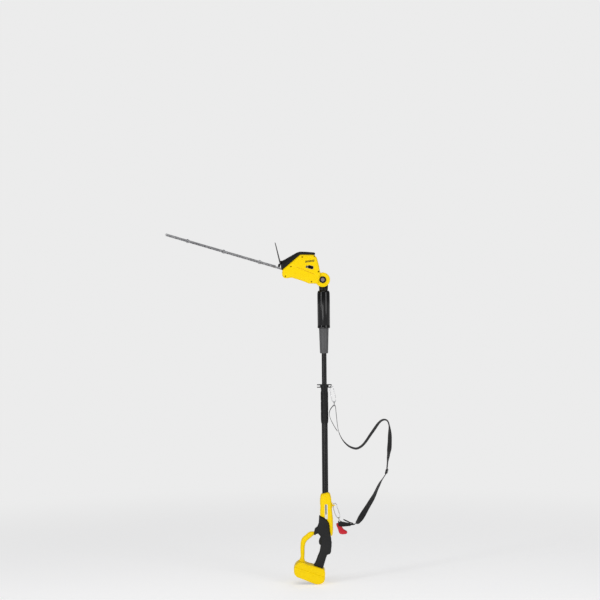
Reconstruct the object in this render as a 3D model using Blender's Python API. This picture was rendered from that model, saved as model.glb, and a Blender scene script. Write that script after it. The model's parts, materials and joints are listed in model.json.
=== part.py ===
"""Pole hedge trimmer in its short, stored state.

Metres, +Z up along the pole, blade towards -X, carrying strap on +X.
The origin is the middle of the rear grip, on the pole's axis.
"""

import math

import bmesh
import bpy
from mathutils import Matrix, Vector

GAP = 0.0003

# Pole: radii and the ends of each tube
HINGE = Vector((-0.003, 0.0, 1.060))
SLEEVE_TOP = 1.0175
SLEEVE_FOOT = 0.8665
SOCKET_FOOT = 0.766
INNER_RADIUS = 0.0098
INNER_WALL = 0.0010
INNER_FOOT = 0.118
INNER_TOP = 0.890
MIDDLE_RADIUS = 0.0109
MIDDLE_WALL = 0.0008
MIDDLE_FOOT = 0.092
MIDDLE_TOP = 0.634
OUTER_RADIUS = 0.0122
OUTER_WALL = 0.0010
OUTER_FOOT = 0.075
OUTER_TOP = 0.603
CLAMP_FOOT = 0.486
HANGER_FOOT = 0.629
HANGER_TOP = 0.642
LEAD_RADIUS = 0.0045

# Head
HEAD_HALF = 0.036
EAR_HALF = 0.027
EAR_RADIUS = 0.029
TONGUE_HALF = 0.0115
TONGUE_RADIUS = 0.027
SHELL_WALL = 0.0028
BUTTON_RADIUS = 0.0114

# Blade, in its own frame: X towards the tip, Z away from the blade's flat
BLADE_ROOT = Vector((-0.169, 0.0, 1.104))
BLADE_RISE = math.radians(16.8)
BLADE_LENGTH = 0.484
BLADE_THICK = 0.002
TOOTH_PITCH = 0.024
TOOTH_COUNT = 19
TOOTH_FIRST = 0.034
TOOTH_REACH = 0.027
STRIP_HALF = 0.0105
BOLT_SPACING = 0.150
BOLT_FIRST = 0.090
STROKE = 0.005
GEAR_TEETH = 40
PINION_TEETH = 10
TOOTH_MODULE = 0.0008
GEAR_X = -0.064
MOTOR_X = -0.0841

# Handle
HOUSING_HALF = 0.0225
CORE_HALF = 0.0150
COVER_HALF = 0.0190
FOOT_HALF = 0.036
LOOP_HALF = 0.0085
FOOT_BASE = Vector((-0.074, 0.0, -0.1372))
FOOT_LEAN = math.radians(19.3)
TRIGGER_PIVOT = Vector((-0.0125, 0.0, 0.0315))
LEVER_PIVOT = Vector((0.0168, 0.0, 0.0285))

# Strap
WEB_WIDTH = 0.030
WEB_THICK = 0.0016
WIRE_RADIUS = 0.0015

FINISHES = {
    "yellow_plastic": ((0.95, 0.72, 0.01), 0.38, 0.0),
    "black_plastic": ((0.015, 0.015, 0.016), 0.45, 0.0),
    "gloss_black": ((0.012, 0.012, 0.013), 0.18, 0.0),
    "soft_black": ((0.020, 0.020, 0.020), 0.75, 0.0),
    "grey_plastic": ((0.12, 0.12, 0.125), 0.5, 0.0),
    "tube_black": ((0.014, 0.014, 0.015), 0.3, 0.6),
    "steel": ((0.45, 0.45, 0.46), 0.32, 1.0),
    "blade_steel": ((0.30, 0.30, 0.31), 0.36, 1.0),
    "wire_grey": ((0.42, 0.42, 0.43), 0.35, 0.9),
    "button_grey": ((0.22, 0.17, 0.19), 0.5, 0.0),
    "red_plastic": ((0.62, 0.01, 0.03), 0.4, 0.0),
    "webbing": ((0.012, 0.012, 0.013), 0.85, 0.0),
    "copper": ((0.70, 0.32, 0.16), 0.4, 1.0),
    "board_green": ((0.02, 0.16, 0.07), 0.5, 0.0),
}


def clear_scene():
    for obj in list(bpy.data.objects):
        bpy.data.objects.remove(obj, do_unlink=True)


def finish(name):
    """The Principled material of this name, made once."""
    found = bpy.data.materials.get(name)
    if found:
        return found
    colour, roughness, metallic = FINISHES[name]
    made = bpy.data.materials.new(name)
    made.use_nodes = True
    shader = made.node_tree.nodes["Principled BSDF"]
    shader.inputs["Base Color"].default_value = (*colour, 1.0)
    shader.inputs["Roughness"].default_value = roughness
    shader.inputs["Metallic"].default_value = metallic
    return made


def solid(name, bm, slot, origin=(0, 0, 0), parent=None):
    """An object of this mesh, with its origin moved to the given place."""
    origin = Vector(origin)
    bmesh.ops.translate(bm, verts=bm.verts, vec=-origin)
    mesh = bpy.data.meshes.new(name)
    bm.to_mesh(mesh)
    bm.free()
    mesh.shade_smooth()
    mesh.set_sharp_from_angle(angle=math.radians(35))
    mesh.materials.append(finish(slot))
    obj = bpy.data.objects.new(name, mesh)
    obj.location = origin
    obj.parent = parent
    bpy.context.scene.collection.objects.link(obj)
    return obj


def guide(bm, parent=None):
    """A hidden shape for a Boolean."""
    obj = solid("guide", bm, "steel", parent=parent)
    obj.hide_render = True
    obj.display_type = "WIRE"
    return obj


def cut(obj, *shapes):
    for shape in shapes:
        modifier = obj.modifiers.new("cut", "BOOLEAN")
        modifier.operation = "DIFFERENCE"
        modifier.object = shape


def join(obj, *shapes):
    for shape in shapes:
        modifier = obj.modifiers.new("join", "BOOLEAN")
        modifier.operation = "UNION"
        modifier.object = shape


def rounded(obj, width, angle=50.0, segments=2):
    modifier = obj.modifiers.new("rounded", "BEVEL")
    modifier.width = width
    modifier.segments = segments
    modifier.limit_method = "ANGLE"
    modifier.angle_limit = math.radians(angle)


def arc(centre, radius, start, end, steps):
    """Points from one angle to another, in degrees, anticlockwise from the first axis."""
    made = []
    for i in range(steps + 1):
        turn = math.radians(start + (end - start) * i / steps)
        made.append((centre[0] + radius * math.cos(turn), centre[1] + radius * math.sin(turn)))
    return made


def circle(centre, radius, sides=32):
    return arc(centre, radius, 0.0, 360.0, sides)[:-1]


def inward(outline, distance):
    """The outline moved in by this distance, or out by a negative one."""
    count = len(outline)
    area = 0.0
    for i in range(count):
        (ax, ay), (bx, by) = outline[i - 1], outline[i]
        area += ax * by - bx * ay
    side = 1.0 if area > 0 else -1.0
    moved = []
    for i in range(count):
        here = Vector(outline[i])
        before = (here - Vector(outline[i - 1])).normalized()
        after = (Vector(outline[(i + 1) % count]) - here).normalized()
        normal_a = Vector((-before.y, before.x)) * side
        normal_b = Vector((-after.y, after.x)) * side
        corner = (normal_a + normal_b) / max(0.35, 1.0 + normal_a.dot(normal_b))
        moved.append(tuple(here + corner * distance))
    return moved


def drawn(outline, near, far, rim=0.0, plane="XZ"):
    """The outline drawn out from near to far, with the far edge rounded by rim."""
    bm = bmesh.new()
    swap = plane == "XZ"
    corners = []
    for u, v in outline:
        corners.append(bm.verts.new((u, near, v) if swap else (u, v, near)))
    base = bm.faces.new(corners)
    side = 1.0 if far > near else -1.0
    along = Vector((0, side, 0)) if swap else Vector((0, 0, side))
    grown = bmesh.ops.extrude_face_region(bm, geom=[base], use_keep_orig=True)["geom"]
    lifted = [item for item in grown if isinstance(item, bmesh.types.BMVert)]
    bmesh.ops.translate(bm, verts=lifted, vec=along * (abs(far - near) - rim))
    bmesh.ops.recalc_face_normals(bm, faces=bm.faces)
    if rim:
        top = max(bm.faces, key=lambda face: face.calc_center_median().dot(along))
        slant = math.sqrt(0.5)
        for inset, rise in ((1 - slant, slant), (slant, 1 - slant)):
            bmesh.ops.inset_region(
                bm, faces=[top], thickness=inset * rim, depth=rise * rim, use_even_offset=True
            )
    return bm


def turned(profile, sides=32, axis="Z", centre=(0, 0, 0)):
    """A profile of (radius, height) spun about an axis. It closes on itself where it misses the axis."""
    bm = bmesh.new()
    verts = [bm.verts.new((radius, 0, height)) for radius, height in profile]
    edges = [bm.edges.new(pair) for pair in zip(verts, verts[1:])]
    if profile[0][0] > 0:
        edges.append(bm.edges.new((verts[-1], verts[0])))
    bmesh.ops.spin(
        bm,
        geom=verts + edges,
        cent=(0, 0, 0),
        axis=(0, 0, 1),
        angle=math.tau,
        steps=sides,
        use_merge=True,
    )
    bmesh.ops.remove_doubles(bm, verts=bm.verts, dist=1e-6)
    bmesh.ops.recalc_face_normals(bm, faces=bm.faces)
    if axis == "Y":
        bmesh.ops.rotate(bm, verts=bm.verts, matrix=Matrix.Rotation(-math.pi / 2, 3, "X"))
    if axis == "X":
        bmesh.ops.rotate(bm, verts=bm.verts, matrix=Matrix.Rotation(math.pi / 2, 3, "Y"))
    bmesh.ops.translate(bm, verts=bm.verts, vec=centre)
    return bm


def tube(radius, wall, foot, top, sides=32):
    bore = radius - wall
    return turned([(bore, foot), (radius, foot), (radius, top), (bore, top)], sides)


def rod(radius, low, high, sides=32, axis="Z", centre=(0, 0, 0)):
    return turned([(0, low), (radius, low), (radius, high), (0, high)], sides, axis, centre)


def block(low, high):
    bm = bmesh.new()
    size = Vector(high) - Vector(low)
    bmesh.ops.create_cube(bm, size=1.0)
    bmesh.ops.scale(bm, verts=bm.verts, vec=size)
    bmesh.ops.translate(bm, verts=bm.verts, vec=(Vector(high) + Vector(low)) / 2)
    return bm


def wire(name, points, radius, slot, cyclic=False, origin=(0, 0, 0)):
    """A round wire along these points."""
    curve = bpy.data.curves.new(name, "CURVE")
    curve.dimensions = "3D"
    curve.bevel_depth = radius
    curve.bevel_resolution = 2
    curve.use_fill_caps = True
    spline = curve.splines.new("POLY")
    spline.points.add(len(points) - 1)
    for point, spot in zip(spline.points, points):
        point.co = (*(Vector(spot) - Vector(origin)), 1.0)
    spline.use_cyclic_u = cyclic
    curve.materials.append(finish(slot))
    obj = bpy.data.objects.new(name, curve)
    obj.location = origin
    bpy.context.scene.collection.objects.link(obj)
    return obj


def smooth(points, steps, cyclic=False):
    """Points on a smooth curve through the given ones."""
    count = len(points)
    spans = count if cyclic else count - 1
    made = []
    for i in range(spans):
        if cyclic:
            a, b, c, d = (Vector(points[(i + k) % count]) for k in (-1, 0, 1, 2))
        else:
            a, b, c, d = (Vector(points[min(max(i + k, 0), count - 1)]) for k in (-1, 0, 1, 2))
        for k in range(steps):
            t = k / steps
            made.append(
                0.5 * (2 * b + (c - a) * t + (2 * a - 5 * b + 4 * c - d) * t**2
                       + (3 * b - a - 3 * c + d) * t**3)
            )
    if not cyclic:
        made.append(Vector(points[-1]))
    return made


def coil(name, axis, centre, radius, wire_radius, length, turns, slot):
    """A helical spring whose middle is at centre."""
    steps = 10
    points = []
    for i in range(turns * steps + 1):
        turn = math.tau * i / steps
        along = length * (i / (turns * steps) - 0.5)
        across = (radius * math.cos(turn), radius * math.sin(turn))
        spot = (across[0], along, across[1]) if axis == "Y" else (along, *across)
        points.append(Vector(spot) + Vector(centre))
    return wire(name, points, wire_radius, slot)


# Head -------------------------------------------------------------------------------------------

HEAD_BODY = [
    (-0.1620, 1.1020), (-0.0920, 1.1610), (-0.0360, 1.1600), (-0.0260, 1.1490), (-0.0180, 1.1180),
    (-0.0145, 1.0990), (-0.0100, 1.0800), (-0.0220, 1.0440), (-0.0440, 1.0470), (-0.0580, 1.0465),
    (-0.0700, 1.0510), (-0.0920, 1.0590), (-0.1280, 1.0700), (-0.1450, 1.0675), (-0.1560, 1.0680),
    (-0.1630, 1.0740), (-0.1655, 1.0850), (-0.1640, 1.0960),
]
HEAD_ROOM = [
    (-0.1620, 1.1020), (-0.0920, 1.1610), (-0.0360, 1.1600), (-0.0260, 1.1490), (-0.0180, 1.1180),
    (-0.0290, 1.0920), (-0.0400, 1.0800), (-0.0460, 1.0510), (-0.0580, 1.0480), (-0.0920, 1.0590),
    (-0.1280, 1.0710), (-0.1560, 1.0680), (-0.1630, 1.0740), (-0.1655, 1.0850), (-0.1640, 1.0960),
]
HEAD_CAP = [
    (-0.1655, 1.0995), (-0.1624, 1.1026), (-0.0922, 1.1617), (-0.0358, 1.1605), (-0.0315, 1.1640),
    (-0.0345, 1.1690), (-0.0680, 1.1720), (-0.0930, 1.1730), (-0.1050, 1.1695), (-0.1530, 1.1425),
    (-0.1650, 1.1368), (-0.1730, 1.1375), (-0.1705, 1.1265), (-0.1700, 1.1180), (-0.1688, 1.1100),
]


def head_frame():
    """An empty on the blade's root, turned so that its X runs along the blade."""
    frame = bpy.data.objects.new("blade_frame", None)
    frame.location = BLADE_ROOT
    frame.rotation_euler = (0.0, -BLADE_RISE, math.pi)
    bpy.context.scene.collection.objects.link(frame)
    return frame


def make_head_shells(frame):
    ear = [(-0.0145, 1.0980), (-0.0040, 1.0925)]
    ear += arc((HINGE.x, HINGE.z), EAR_RADIUS, 66.0, -145.0, 22)
    ear += [(-0.0360, 1.0495), (-0.0360, 1.0900)]
    room = inward(HEAD_ROOM, SHELL_WALL)
    slot_half = TONGUE_HALF + 0.0005
    swing = [(-0.0510, 1.0640), (0.0050, 1.0640), (0.0050, 1.0920), (0.0300, 1.0920), (0.0300, 1.0120),
             (-0.0510, 1.0120)]
    axis = (HINGE.x, HINGE.z)
    tongue_room = guide(drawn(circle(axis, TONGUE_RADIUS + 0.0015), -slot_half, slot_half))
    swing_room = guide(drawn(swing, -slot_half, slot_half))
    pin_hole = guide(rod(0.0045, -0.05, 0.05, 24, "Y", HINGE))
    blade_slot = guide(block((-0.060, -0.0195, -0.0032), (0.030, 0.0195, 0.0064)), frame)
    for name, side in (("head_shell_front", -1), ("head_shell_rear", 1)):
        shell = solid(name, drawn(HEAD_BODY, side * GAP / 2, side * HEAD_HALF, 0.009),
                      "yellow_plastic", HINGE)
        join(shell, guide(drawn(ear, side * GAP / 2, side * EAR_HALF, 0.004)))
        inside = guide(drawn(room, -side * 0.005, side * (HEAD_HALF - SHELL_WALL), 0.006))
        if side < 0:
            recess = guide(rod(BUTTON_RADIUS + 0.0008, -0.050, -0.016, 32, "Y", HINGE))
        else:
            recess = guide(rod(0.0084, 0.0233, 0.050, 24, "Y", HINGE))
        cut(shell, inside, tongue_room, swing_room, pin_hole, recess, blade_slot)
    cap = solid("head_cap", drawn(HEAD_CAP, -0.030, 0.030), "black_plastic", HINGE)
    rounded(cap, 0.0025)
    cut(cap, blade_slot)


def make_guard():
    """The upright shield, a thin plate bowed back at its sides."""
    bm = bmesh.new()
    bmesh.ops.create_grid(bm, x_segments=6, y_segments=8, size=1.0)
    foot = Vector((-0.1762, 0.0, 1.1270))
    up = Vector((-0.0190, 0.0, 0.0850))
    for vert in bm.verts:
        height = (vert.co.x + 1) / 2
        across = vert.co.y
        half = 0.044 - 0.010 * height**3
        drop = 0.06 * across**4
        back = 0.0048 * across**2 * (1 - 0.5 * height)
        vert.co = foot + up * height * (1 - drop) + Vector((back, across * half, 0))
    guard = solid("blade_guard", bm, "black_plastic", HINGE)
    plate = guard.modifiers.new("plate", "SOLIDIFY")
    plate.thickness = 0.0045
    plate.offset = 0.0


def cogs(teeth, phase):
    """A gear's outline with straight-sided teeth, the first one centred at this angle."""
    pitch_radius = teeth * TOOTH_MODULE / 2
    made = []
    for i in range(teeth):
        centre = phase + math.tau * i / teeth
        for radius, half in (
            (pitch_radius - 0.00095, -0.00068),
            (pitch_radius + 0.00055, -0.00024),
            (pitch_radius + 0.00055, 0.00024),
            (pitch_radius - 0.00095, 0.00068),
        ):
            turn = centre + half / radius
            made.append((radius * math.cos(turn), radius * math.sin(turn)))
    return made


def make_drive(frame):
    """Motor, gears, bearings and the housing under them, in the blade's frame."""
    gear = (GEAR_X, 0.0, 0.0)
    motor = (MOTOR_X, 0.0, 0.0)
    housing = solid("gear_housing", block((-0.092, -0.026, -0.015), (-0.038, 0.026, -0.004)),
                    "grey_plastic", parent=frame)
    cut(housing, guide(rod(0.0093, -0.0137, 0.010, 32, "Z", gear), frame),
        guide(rod(0.0050, -0.030, 0.010, 32, "Z", gear), frame))
    for name, foot in (("bearing_lower", -0.0133), ("bearing_upper", -0.0087)):
        ring = turned([(0.0044, foot), (0.0090, foot), (0.0090, foot + 0.004), (0.0044, foot + 0.004)],
                      32, "Z", gear)
        solid(name, ring, "steel", gear, frame)
    wheel = drawn(cogs(GEAR_TEETH, 0.0), 0.0062, 0.0118, plane="XY")
    bmesh.ops.translate(wheel, verts=wheel.verts, vec=gear)
    drive = solid("drive_gear", wheel, "steel", gear, frame)
    upper_cam = drawn(circle((GEAR_X + STROKE, 0), 0.0075, 24), 0.0001, 0.0070, plane="XY")
    lower_cam = drawn(circle((GEAR_X - STROKE, 0), 0.0075, 24), -0.0026, 0.0006, plane="XY")
    join(drive, guide(upper_cam, frame), guide(lower_cam, frame),
         guide(rod(0.0040, -0.0128, 0.0080, 32, "Z", gear), frame))
    rotor = [(0, 0.0045), (0.0022, 0.0045), (0.0022, 0.0180), (0.0145, 0.0180), (0.0145, 0.0500),
             (0.0022, 0.0500), (0.0022, 0.0532), (0, 0.0532)]
    motor_rotor = solid("motor_rotor", turned(rotor, 24, "Z", motor), "copper", motor, frame)
    pinion = drawn(cogs(PINION_TEETH, math.pi / PINION_TEETH), 0.0058, 0.0122, plane="XY")
    bmesh.ops.translate(pinion, verts=pinion.verts, vec=motor)
    join(motor_rotor, guide(pinion, frame))
    case = [(0.0032, 0.0127), (0.0165, 0.0127), (0.0185, 0.0147), (0.0185, 0.0550), (0.0165, 0.0570),
            (0.0, 0.0570)]
    room = [(0.0, 0.0540), (0.0160, 0.0540), (0.0160, 0.0155), (0.0032, 0.0155)]
    can = bmesh.new()
    outline = case + room
    verts = [can.verts.new((radius, 0, height)) for radius, height in outline]
    edges = [can.edges.new(pair) for pair in zip(verts[:6], verts[1:6])]
    edges += [can.edges.new(pair) for pair in zip(verts[6:], verts[7:])]
    edges.append(can.edges.new((verts[-1], verts[0])))
    bmesh.ops.spin(can, geom=verts + edges, cent=(0, 0, 0), axis=(0, 0, 1), angle=math.tau,
                   steps=32, use_merge=True)
    bmesh.ops.remove_doubles(can, verts=can.verts, dist=1e-6)
    bmesh.ops.recalc_face_normals(can, faces=can.faces)
    bmesh.ops.translate(can, verts=can.verts, vec=motor)
    solid("motor_case", can, "steel", motor, frame)


def blade_outline():
    """One toothed blade: a yoke at the root, a strip, and teeth on both edges."""
    edge = [(-0.0840, 0.0180), (-0.0440, 0.0180), (-0.0360, STRIP_HALF)]
    for i in range(TOOTH_COUNT):
        middle = TOOTH_FIRST + TOOTH_PITCH * i
        edge += [(middle - 0.0068, STRIP_HALF), (middle - 0.0026, TOOTH_REACH - 0.001),
                 (middle - 0.0014, TOOTH_REACH), (middle + 0.0014, TOOTH_REACH),
                 (middle + 0.0026, TOOTH_REACH - 0.001), (middle + 0.0068, STRIP_HALF)]
    edge += [(0.4760, STRIP_HALF), (0.4800, 0.0060)]
    return edge + [(x, -y) for x, y in reversed(edge)]


def make_blades(frame):
    bolts = [BOLT_FIRST + BOLT_SPACING * i for i in range(3)]
    slots = []
    for x in bolts:
        slots.append(guide(block((x - 0.0085, -0.0033, -0.01), (x + 0.0085, 0.0033, 0.01)), frame))
    window = guide(block((-0.0820, -0.0132, -0.01), (-0.0460, 0.0132, 0.01)), frame)
    for name, foot in (("lower_blade", -0.0022), ("upper_blade", 0.0001)):
        blade = solid(name, drawn(blade_outline(), foot, foot + BLADE_THICK, plane="XY"),
                      "blade_steel", parent=frame)
        cut(blade, window, *slots)
    half = [(-0.0440, 0.0150), (0.0200, 0.0150), (0.0360, 0.0070), (0.4760, 0.0065), (0.4840, 0.0030)]
    outline = half + [(x, -y) for x, y in reversed(half)]
    bar = solid("blade_bar", drawn(outline, 0.0024, 0.0054, plane="XY"), "blade_steel", parent=frame)
    join(bar, guide(block((0.0240, -0.0052, 0.0050), (0.4820, 0.0052, 0.0080)), frame))
    for i, x in enumerate(bolts):
        centre = (x, 0.0, 0.0)
        cut(bar, guide(rod(0.0030, -0.01, 0.02, 16, "Z", centre), frame))
        bolt = [(0, -0.0046), (0.0046, -0.0046), (0.0056, -0.0036), (0.0056, -0.0025), (0.0026, -0.0025),
                (0.0026, 0.0083), (0.0046, 0.0083), (0.0046, 0.0108), (0, 0.0108)]
        solid(f"blade_bolt_{i + 1}", turned(bolt, 16, "Z", centre), "steel", centre, frame)
    clamp = solid("blade_clamp", block((0.0072, -0.0135, 0.0057), (0.0155, 0.0135, 0.0180)),
                  "black_plastic", parent=frame)
    rounded(clamp, 0.0012)


# Hinge and pole ---------------------------------------------------------------------------------


def make_hinge():
    neck = [(0, 0.8970), (0.0150, 0.8970), (0.0160, 0.8990), (0.0160, 0.9960), (0.0168, 0.9980),
            (0.0168, 1.0270), (0.0155, 1.0290), (0, 1.0290)]
    knuckle = solid("hinge_knuckle", turned(neck), "black_plastic", HINGE)
    shoulder = [(-0.0172, 1.0200), (0.0172, 1.0200), (0.0190, 1.0500), (-0.0190, 1.0500)]
    disc = drawn(circle((HINGE.x, HINGE.z), TONGUE_RADIUS), -TONGUE_HALF, TONGUE_HALF)
    join(knuckle, guide(drawn(shoulder, -TONGUE_HALF, TONGUE_HALF)), guide(disc))
    cut(knuckle, guide(rod(0.0046, -0.05, 0.05, 24, "Y", HINGE)),
        guide(rod(0.0190, -0.0200, -0.0075, 32, "Y", HINGE)),
        guide(rod(0.0060, 0.890, 0.960, 16)))
    ring = solid("detent_ring", drawn(circle((HINGE.x, HINGE.z), 0.0186), -0.0112, -0.0078),
                 "steel", HINGE)
    notches = []
    for i in range(32):
        radius = (0.0118, 0.0118, 0.0140, 0.0140)[i % 4]
        turn = math.tau * i / 32
        notches.append((HINGE.x + radius * math.cos(turn), HINGE.z + radius * math.sin(turn)))
    cut(ring, guide(drawn(notches, -0.02, 0.02)))
    pin = [(0, -0.0178), (0.0064, -0.0178), (0.0070, -0.0172), (0.0070, -0.0163), (0.0042, -0.0163),
           (0.0042, 0.0236), (0.0075, 0.0236), (0.0075, 0.0262), (0, 0.0262)]
    solid("hinge_pin", turned(pin, 24, "Y", HINGE), "steel", HINGE)
    button = [(0, -0.0266), (0.0100, -0.0266), (BUTTON_RADIUS, -0.0254), (BUTTON_RADIUS, -0.0205),
              (0.0094, -0.0205), (0.0094, -0.0232), (0, -0.0232)]
    solid("release_button", turned(button, 32, "Y", HINGE), "button_grey", HINGE)
    coil("button_spring", "Y", HINGE + Vector((0, -0.0205, 0)), 0.0058, 0.0006, 0.0036, 2, "steel")


def make_pole():
    sleeve = [(0.0175, SLEEVE_TOP), (0.0195, SLEEVE_TOP), (0.0228, 1.0135), (0.0250, 1.0040),
              (0.0250, 0.8715), (0.0243, SLEEVE_FOOT), (0.0202, SLEEVE_FOOT), (0.0202, 1.0060),
              (0.0175, 1.0085)]
    solid("coupling_sleeve", turned(sleeve, 40), "gloss_black")
    bore = INNER_RADIUS + GAP
    socket = [(bore, SOCKET_FOOT), (0.0157, SOCKET_FOOT), (0.0163, 0.7680), (0.0192, 0.8640),
              (0.0196, 0.8680), (0.0196, 0.9900), (0.0164, 0.9900), (0.0164, 0.8940), (bore, 0.8940)]
    solid("pole_socket", turned(socket), "grey_plastic")
    solid("inner_tube", tube(INNER_RADIUS, INNER_WALL, INNER_FOOT, INNER_TOP), "tube_black")
    solid("middle_tube", tube(MIDDLE_RADIUS, MIDDLE_WALL, MIDDLE_FOOT, MIDDLE_TOP), "tube_black")
    solid("outer_tube", tube(OUTER_RADIUS, OUTER_WALL, OUTER_FOOT, OUTER_TOP), "tube_black")
    make_bush("inner_bush", INNER_FOOT, INNER_RADIUS, INNER_RADIUS - INNER_WALL - GAP, 0.0175)
    make_bush("middle_bush", MIDDLE_FOOT, MIDDLE_RADIUS, MIDDLE_RADIUS - MIDDLE_WALL - GAP, 0.0130)
    ferrule = tube(OUTER_RADIUS, OUTER_RADIUS - INNER_RADIUS - GAP, MIDDLE_TOP + GAP, HANGER_TOP)
    solid("middle_ferrule", ferrule, "black_plastic")
    solid("coiled_lead", rod(LEAD_RADIUS, OUTER_FOOT + 0.004, 0.882, 16), "soft_black")


def make_bush(name, tube_foot, flange, spigot, reach):
    """A plastic guide in a tube's lower end, with a flange under the end and a bore for the lead."""
    bore = LEAD_RADIUS + 0.0007
    profile = [(bore, tube_foot - 0.007), (flange, tube_foot - 0.007), (flange, tube_foot - GAP),
               (spigot, tube_foot - GAP), (spigot, tube_foot + reach), (bore, tube_foot + reach)]
    solid(name, turned(profile, 32), "grey_plastic")


def make_clamp():
    near = OUTER_RADIUS + 0.0004
    neck = MIDDLE_RADIUS + GAP
    body = [(near, CLAMP_FOOT), (0.0132, CLAMP_FOOT), (0.0147, 0.4960), (0.0147, 0.4985),
            (0.0134, 0.4985), (0.0134, 0.6150), (0.0140, 0.6170), (0.0140, HANGER_TOP),
            (near, HANGER_TOP), (near, MIDDLE_TOP), (neck, MIDDLE_TOP), (neck, 0.6040), (near, 0.6040)]
    solid("clamp_body", turned(body), "black_plastic")
    nut = [(0.0138, 0.4990), (0.0147, 0.4990), (0.0147, 0.5340), (0.0144, 0.5350), (0.0147, 0.5360),
           (0.0147, 0.5740), (0.0144, 0.5750), (0.0147, 0.5760), (0.0147, 0.6120), (0.0142, 0.6142),
           (0.0138, 0.6142)]
    solid("clamp_nut", turned(nut, 36), "black_plastic")
    end = 0.0235
    plate = arc((end, 0), 0.006, -70, 70, 8) + arc((0, 0), 0.0185, 72, 108, 4)
    plate += arc((-end, 0), 0.006, 110, 250, 8) + arc((0, 0), 0.0185, 252, 288, 4)
    hanger = solid("strap_hanger", drawn(plate, HANGER_FOOT, HANGER_FOOT + 0.003, plane="XY"),
                   "black_plastic")
    join(hanger, guide(rod(0.0172, HANGER_FOOT + 0.001, HANGER_TOP - 0.001)),
         guide(drawn(plate, HANGER_TOP - 0.0035, HANGER_TOP, plane="XY")))
    cut(hanger, guide(rod(0.0144, 0.60, 0.66)))
    for side in (-1, 1):
        cut(hanger, guide(rod(0.0034, 0.60, 0.66, 16, "Z", (side * end, 0, 0))))


# Handle -----------------------------------------------------------------------------------------

SEAM = [
    (-0.0215, 0.1180), (-0.0067, 0.1110), (0.0035, 0.1048), (0.0087, 0.0968), (0.0135, 0.0885),
    (0.0160, 0.0770), (0.0170, 0.0600), (0.0205, 0.0380),
]
HOUSING = [
    (-0.0215, 0.1340), (-0.0200, 0.1510), (-0.0215, 0.1640), (-0.0215, 0.1790), (-0.0195, 0.1960),
    (-0.0160, 0.2045), (0.0085, 0.2115), (0.0190, 0.2060), (0.0235, 0.1880), (0.0248, 0.1650),
    (0.0275, 0.1260), (0.0297, 0.1050), (0.0297, 0.0600), (0.0280, 0.0430), (0.0240, 0.0365),
]
CORE = [
    (-0.0190, 0.1260), (0.0180, 0.1200), (0.0195, 0.0450), (0.0100, 0.0380), (0.0072, 0.0330),
    (0.0055, -0.0340), (-0.0030, -0.0560), (-0.0140, -0.0980), (-0.0500, -0.0960), (-0.0375, -0.0670),
    (-0.0295, -0.0460), (-0.0215, -0.0260), (-0.0180, -0.0080), (-0.0180, 0.0420), (-0.0205, 0.0750),
]
COVER_REST = [
    (0.0208, 0.0345), (0.0212, 0.0000), (0.0200, -0.0300), (0.0160, -0.0355), (0.0055, -0.0385),
    (-0.0005, -0.0550), (-0.0115, -0.0919), (-0.0485, -0.0800), (-0.0405, -0.0660), (-0.0325, -0.0450),
    (-0.0245, -0.0260), (-0.0212, -0.0080), (-0.0212, 0.0360), (-0.0300, 0.0465), (-0.0385, 0.0445),
    (-0.0430, 0.0390), (-0.0478, 0.0450), (-0.0450, 0.0560), (-0.0425, 0.0660), (-0.0330, 0.0725),
    (-0.0275, 0.0860), (-0.0253, 0.1165),
]
FOOT = [
    (-0.1215, -0.0740), (-0.1060, -0.0625), (-0.0840, -0.0680), (-0.0700, -0.0755), (-0.0530, -0.0790),
    (-0.0120, -0.0925), (-0.0060, -0.0960), (-0.0035, -0.1050), (-0.0045, -0.1350), (-0.0120, -0.1470),
    (-0.0290, -0.1530), (-0.0470, -0.1505), (-0.0850, -0.1345), (-0.1190, -0.1215), (-0.1275, -0.1080),
    (-0.1285, -0.0900),
]
HAND_LOOP = [
    (-0.1140, -0.0780), (-0.1075, -0.0610), (-0.1005, -0.0480), (-0.1015, -0.0100), (-0.1000, 0.0120),
    (-0.0960, 0.0260), (-0.0880, 0.0350), (-0.0800, 0.0400), (-0.0700, 0.0500), (-0.0600, 0.0540),
    (-0.0520, 0.0520), (-0.0488, 0.0460), (-0.0495, 0.0400), (-0.0600, 0.0290), (-0.0710, 0.0210),
    (-0.0800, 0.0100), (-0.0845, -0.0080), (-0.0845, -0.0310), (-0.0860, -0.0550), (-0.0820, -0.0680),
    (-0.0700, -0.0850),
]
TRIGGER = [
    (-0.0150, 0.0350), (-0.0215, 0.0320), (-0.0265, 0.0200), (-0.0280, 0.0120), (-0.0255, 0.0030),
    (-0.0205, -0.0010), (-0.0130, -0.0020), (-0.0090, 0.0100), (-0.0090, 0.0330),
]
LEVER = [
    (0.0132, 0.0290), (0.0150, 0.0335), (0.0190, 0.0338), (0.0222, 0.0300), (0.0232, 0.0100),
    (0.0230, -0.0080), (0.0208, -0.0290), (0.0185, -0.0325), (0.0150, -0.0335), (0.0148, 0.0150),
]


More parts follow.
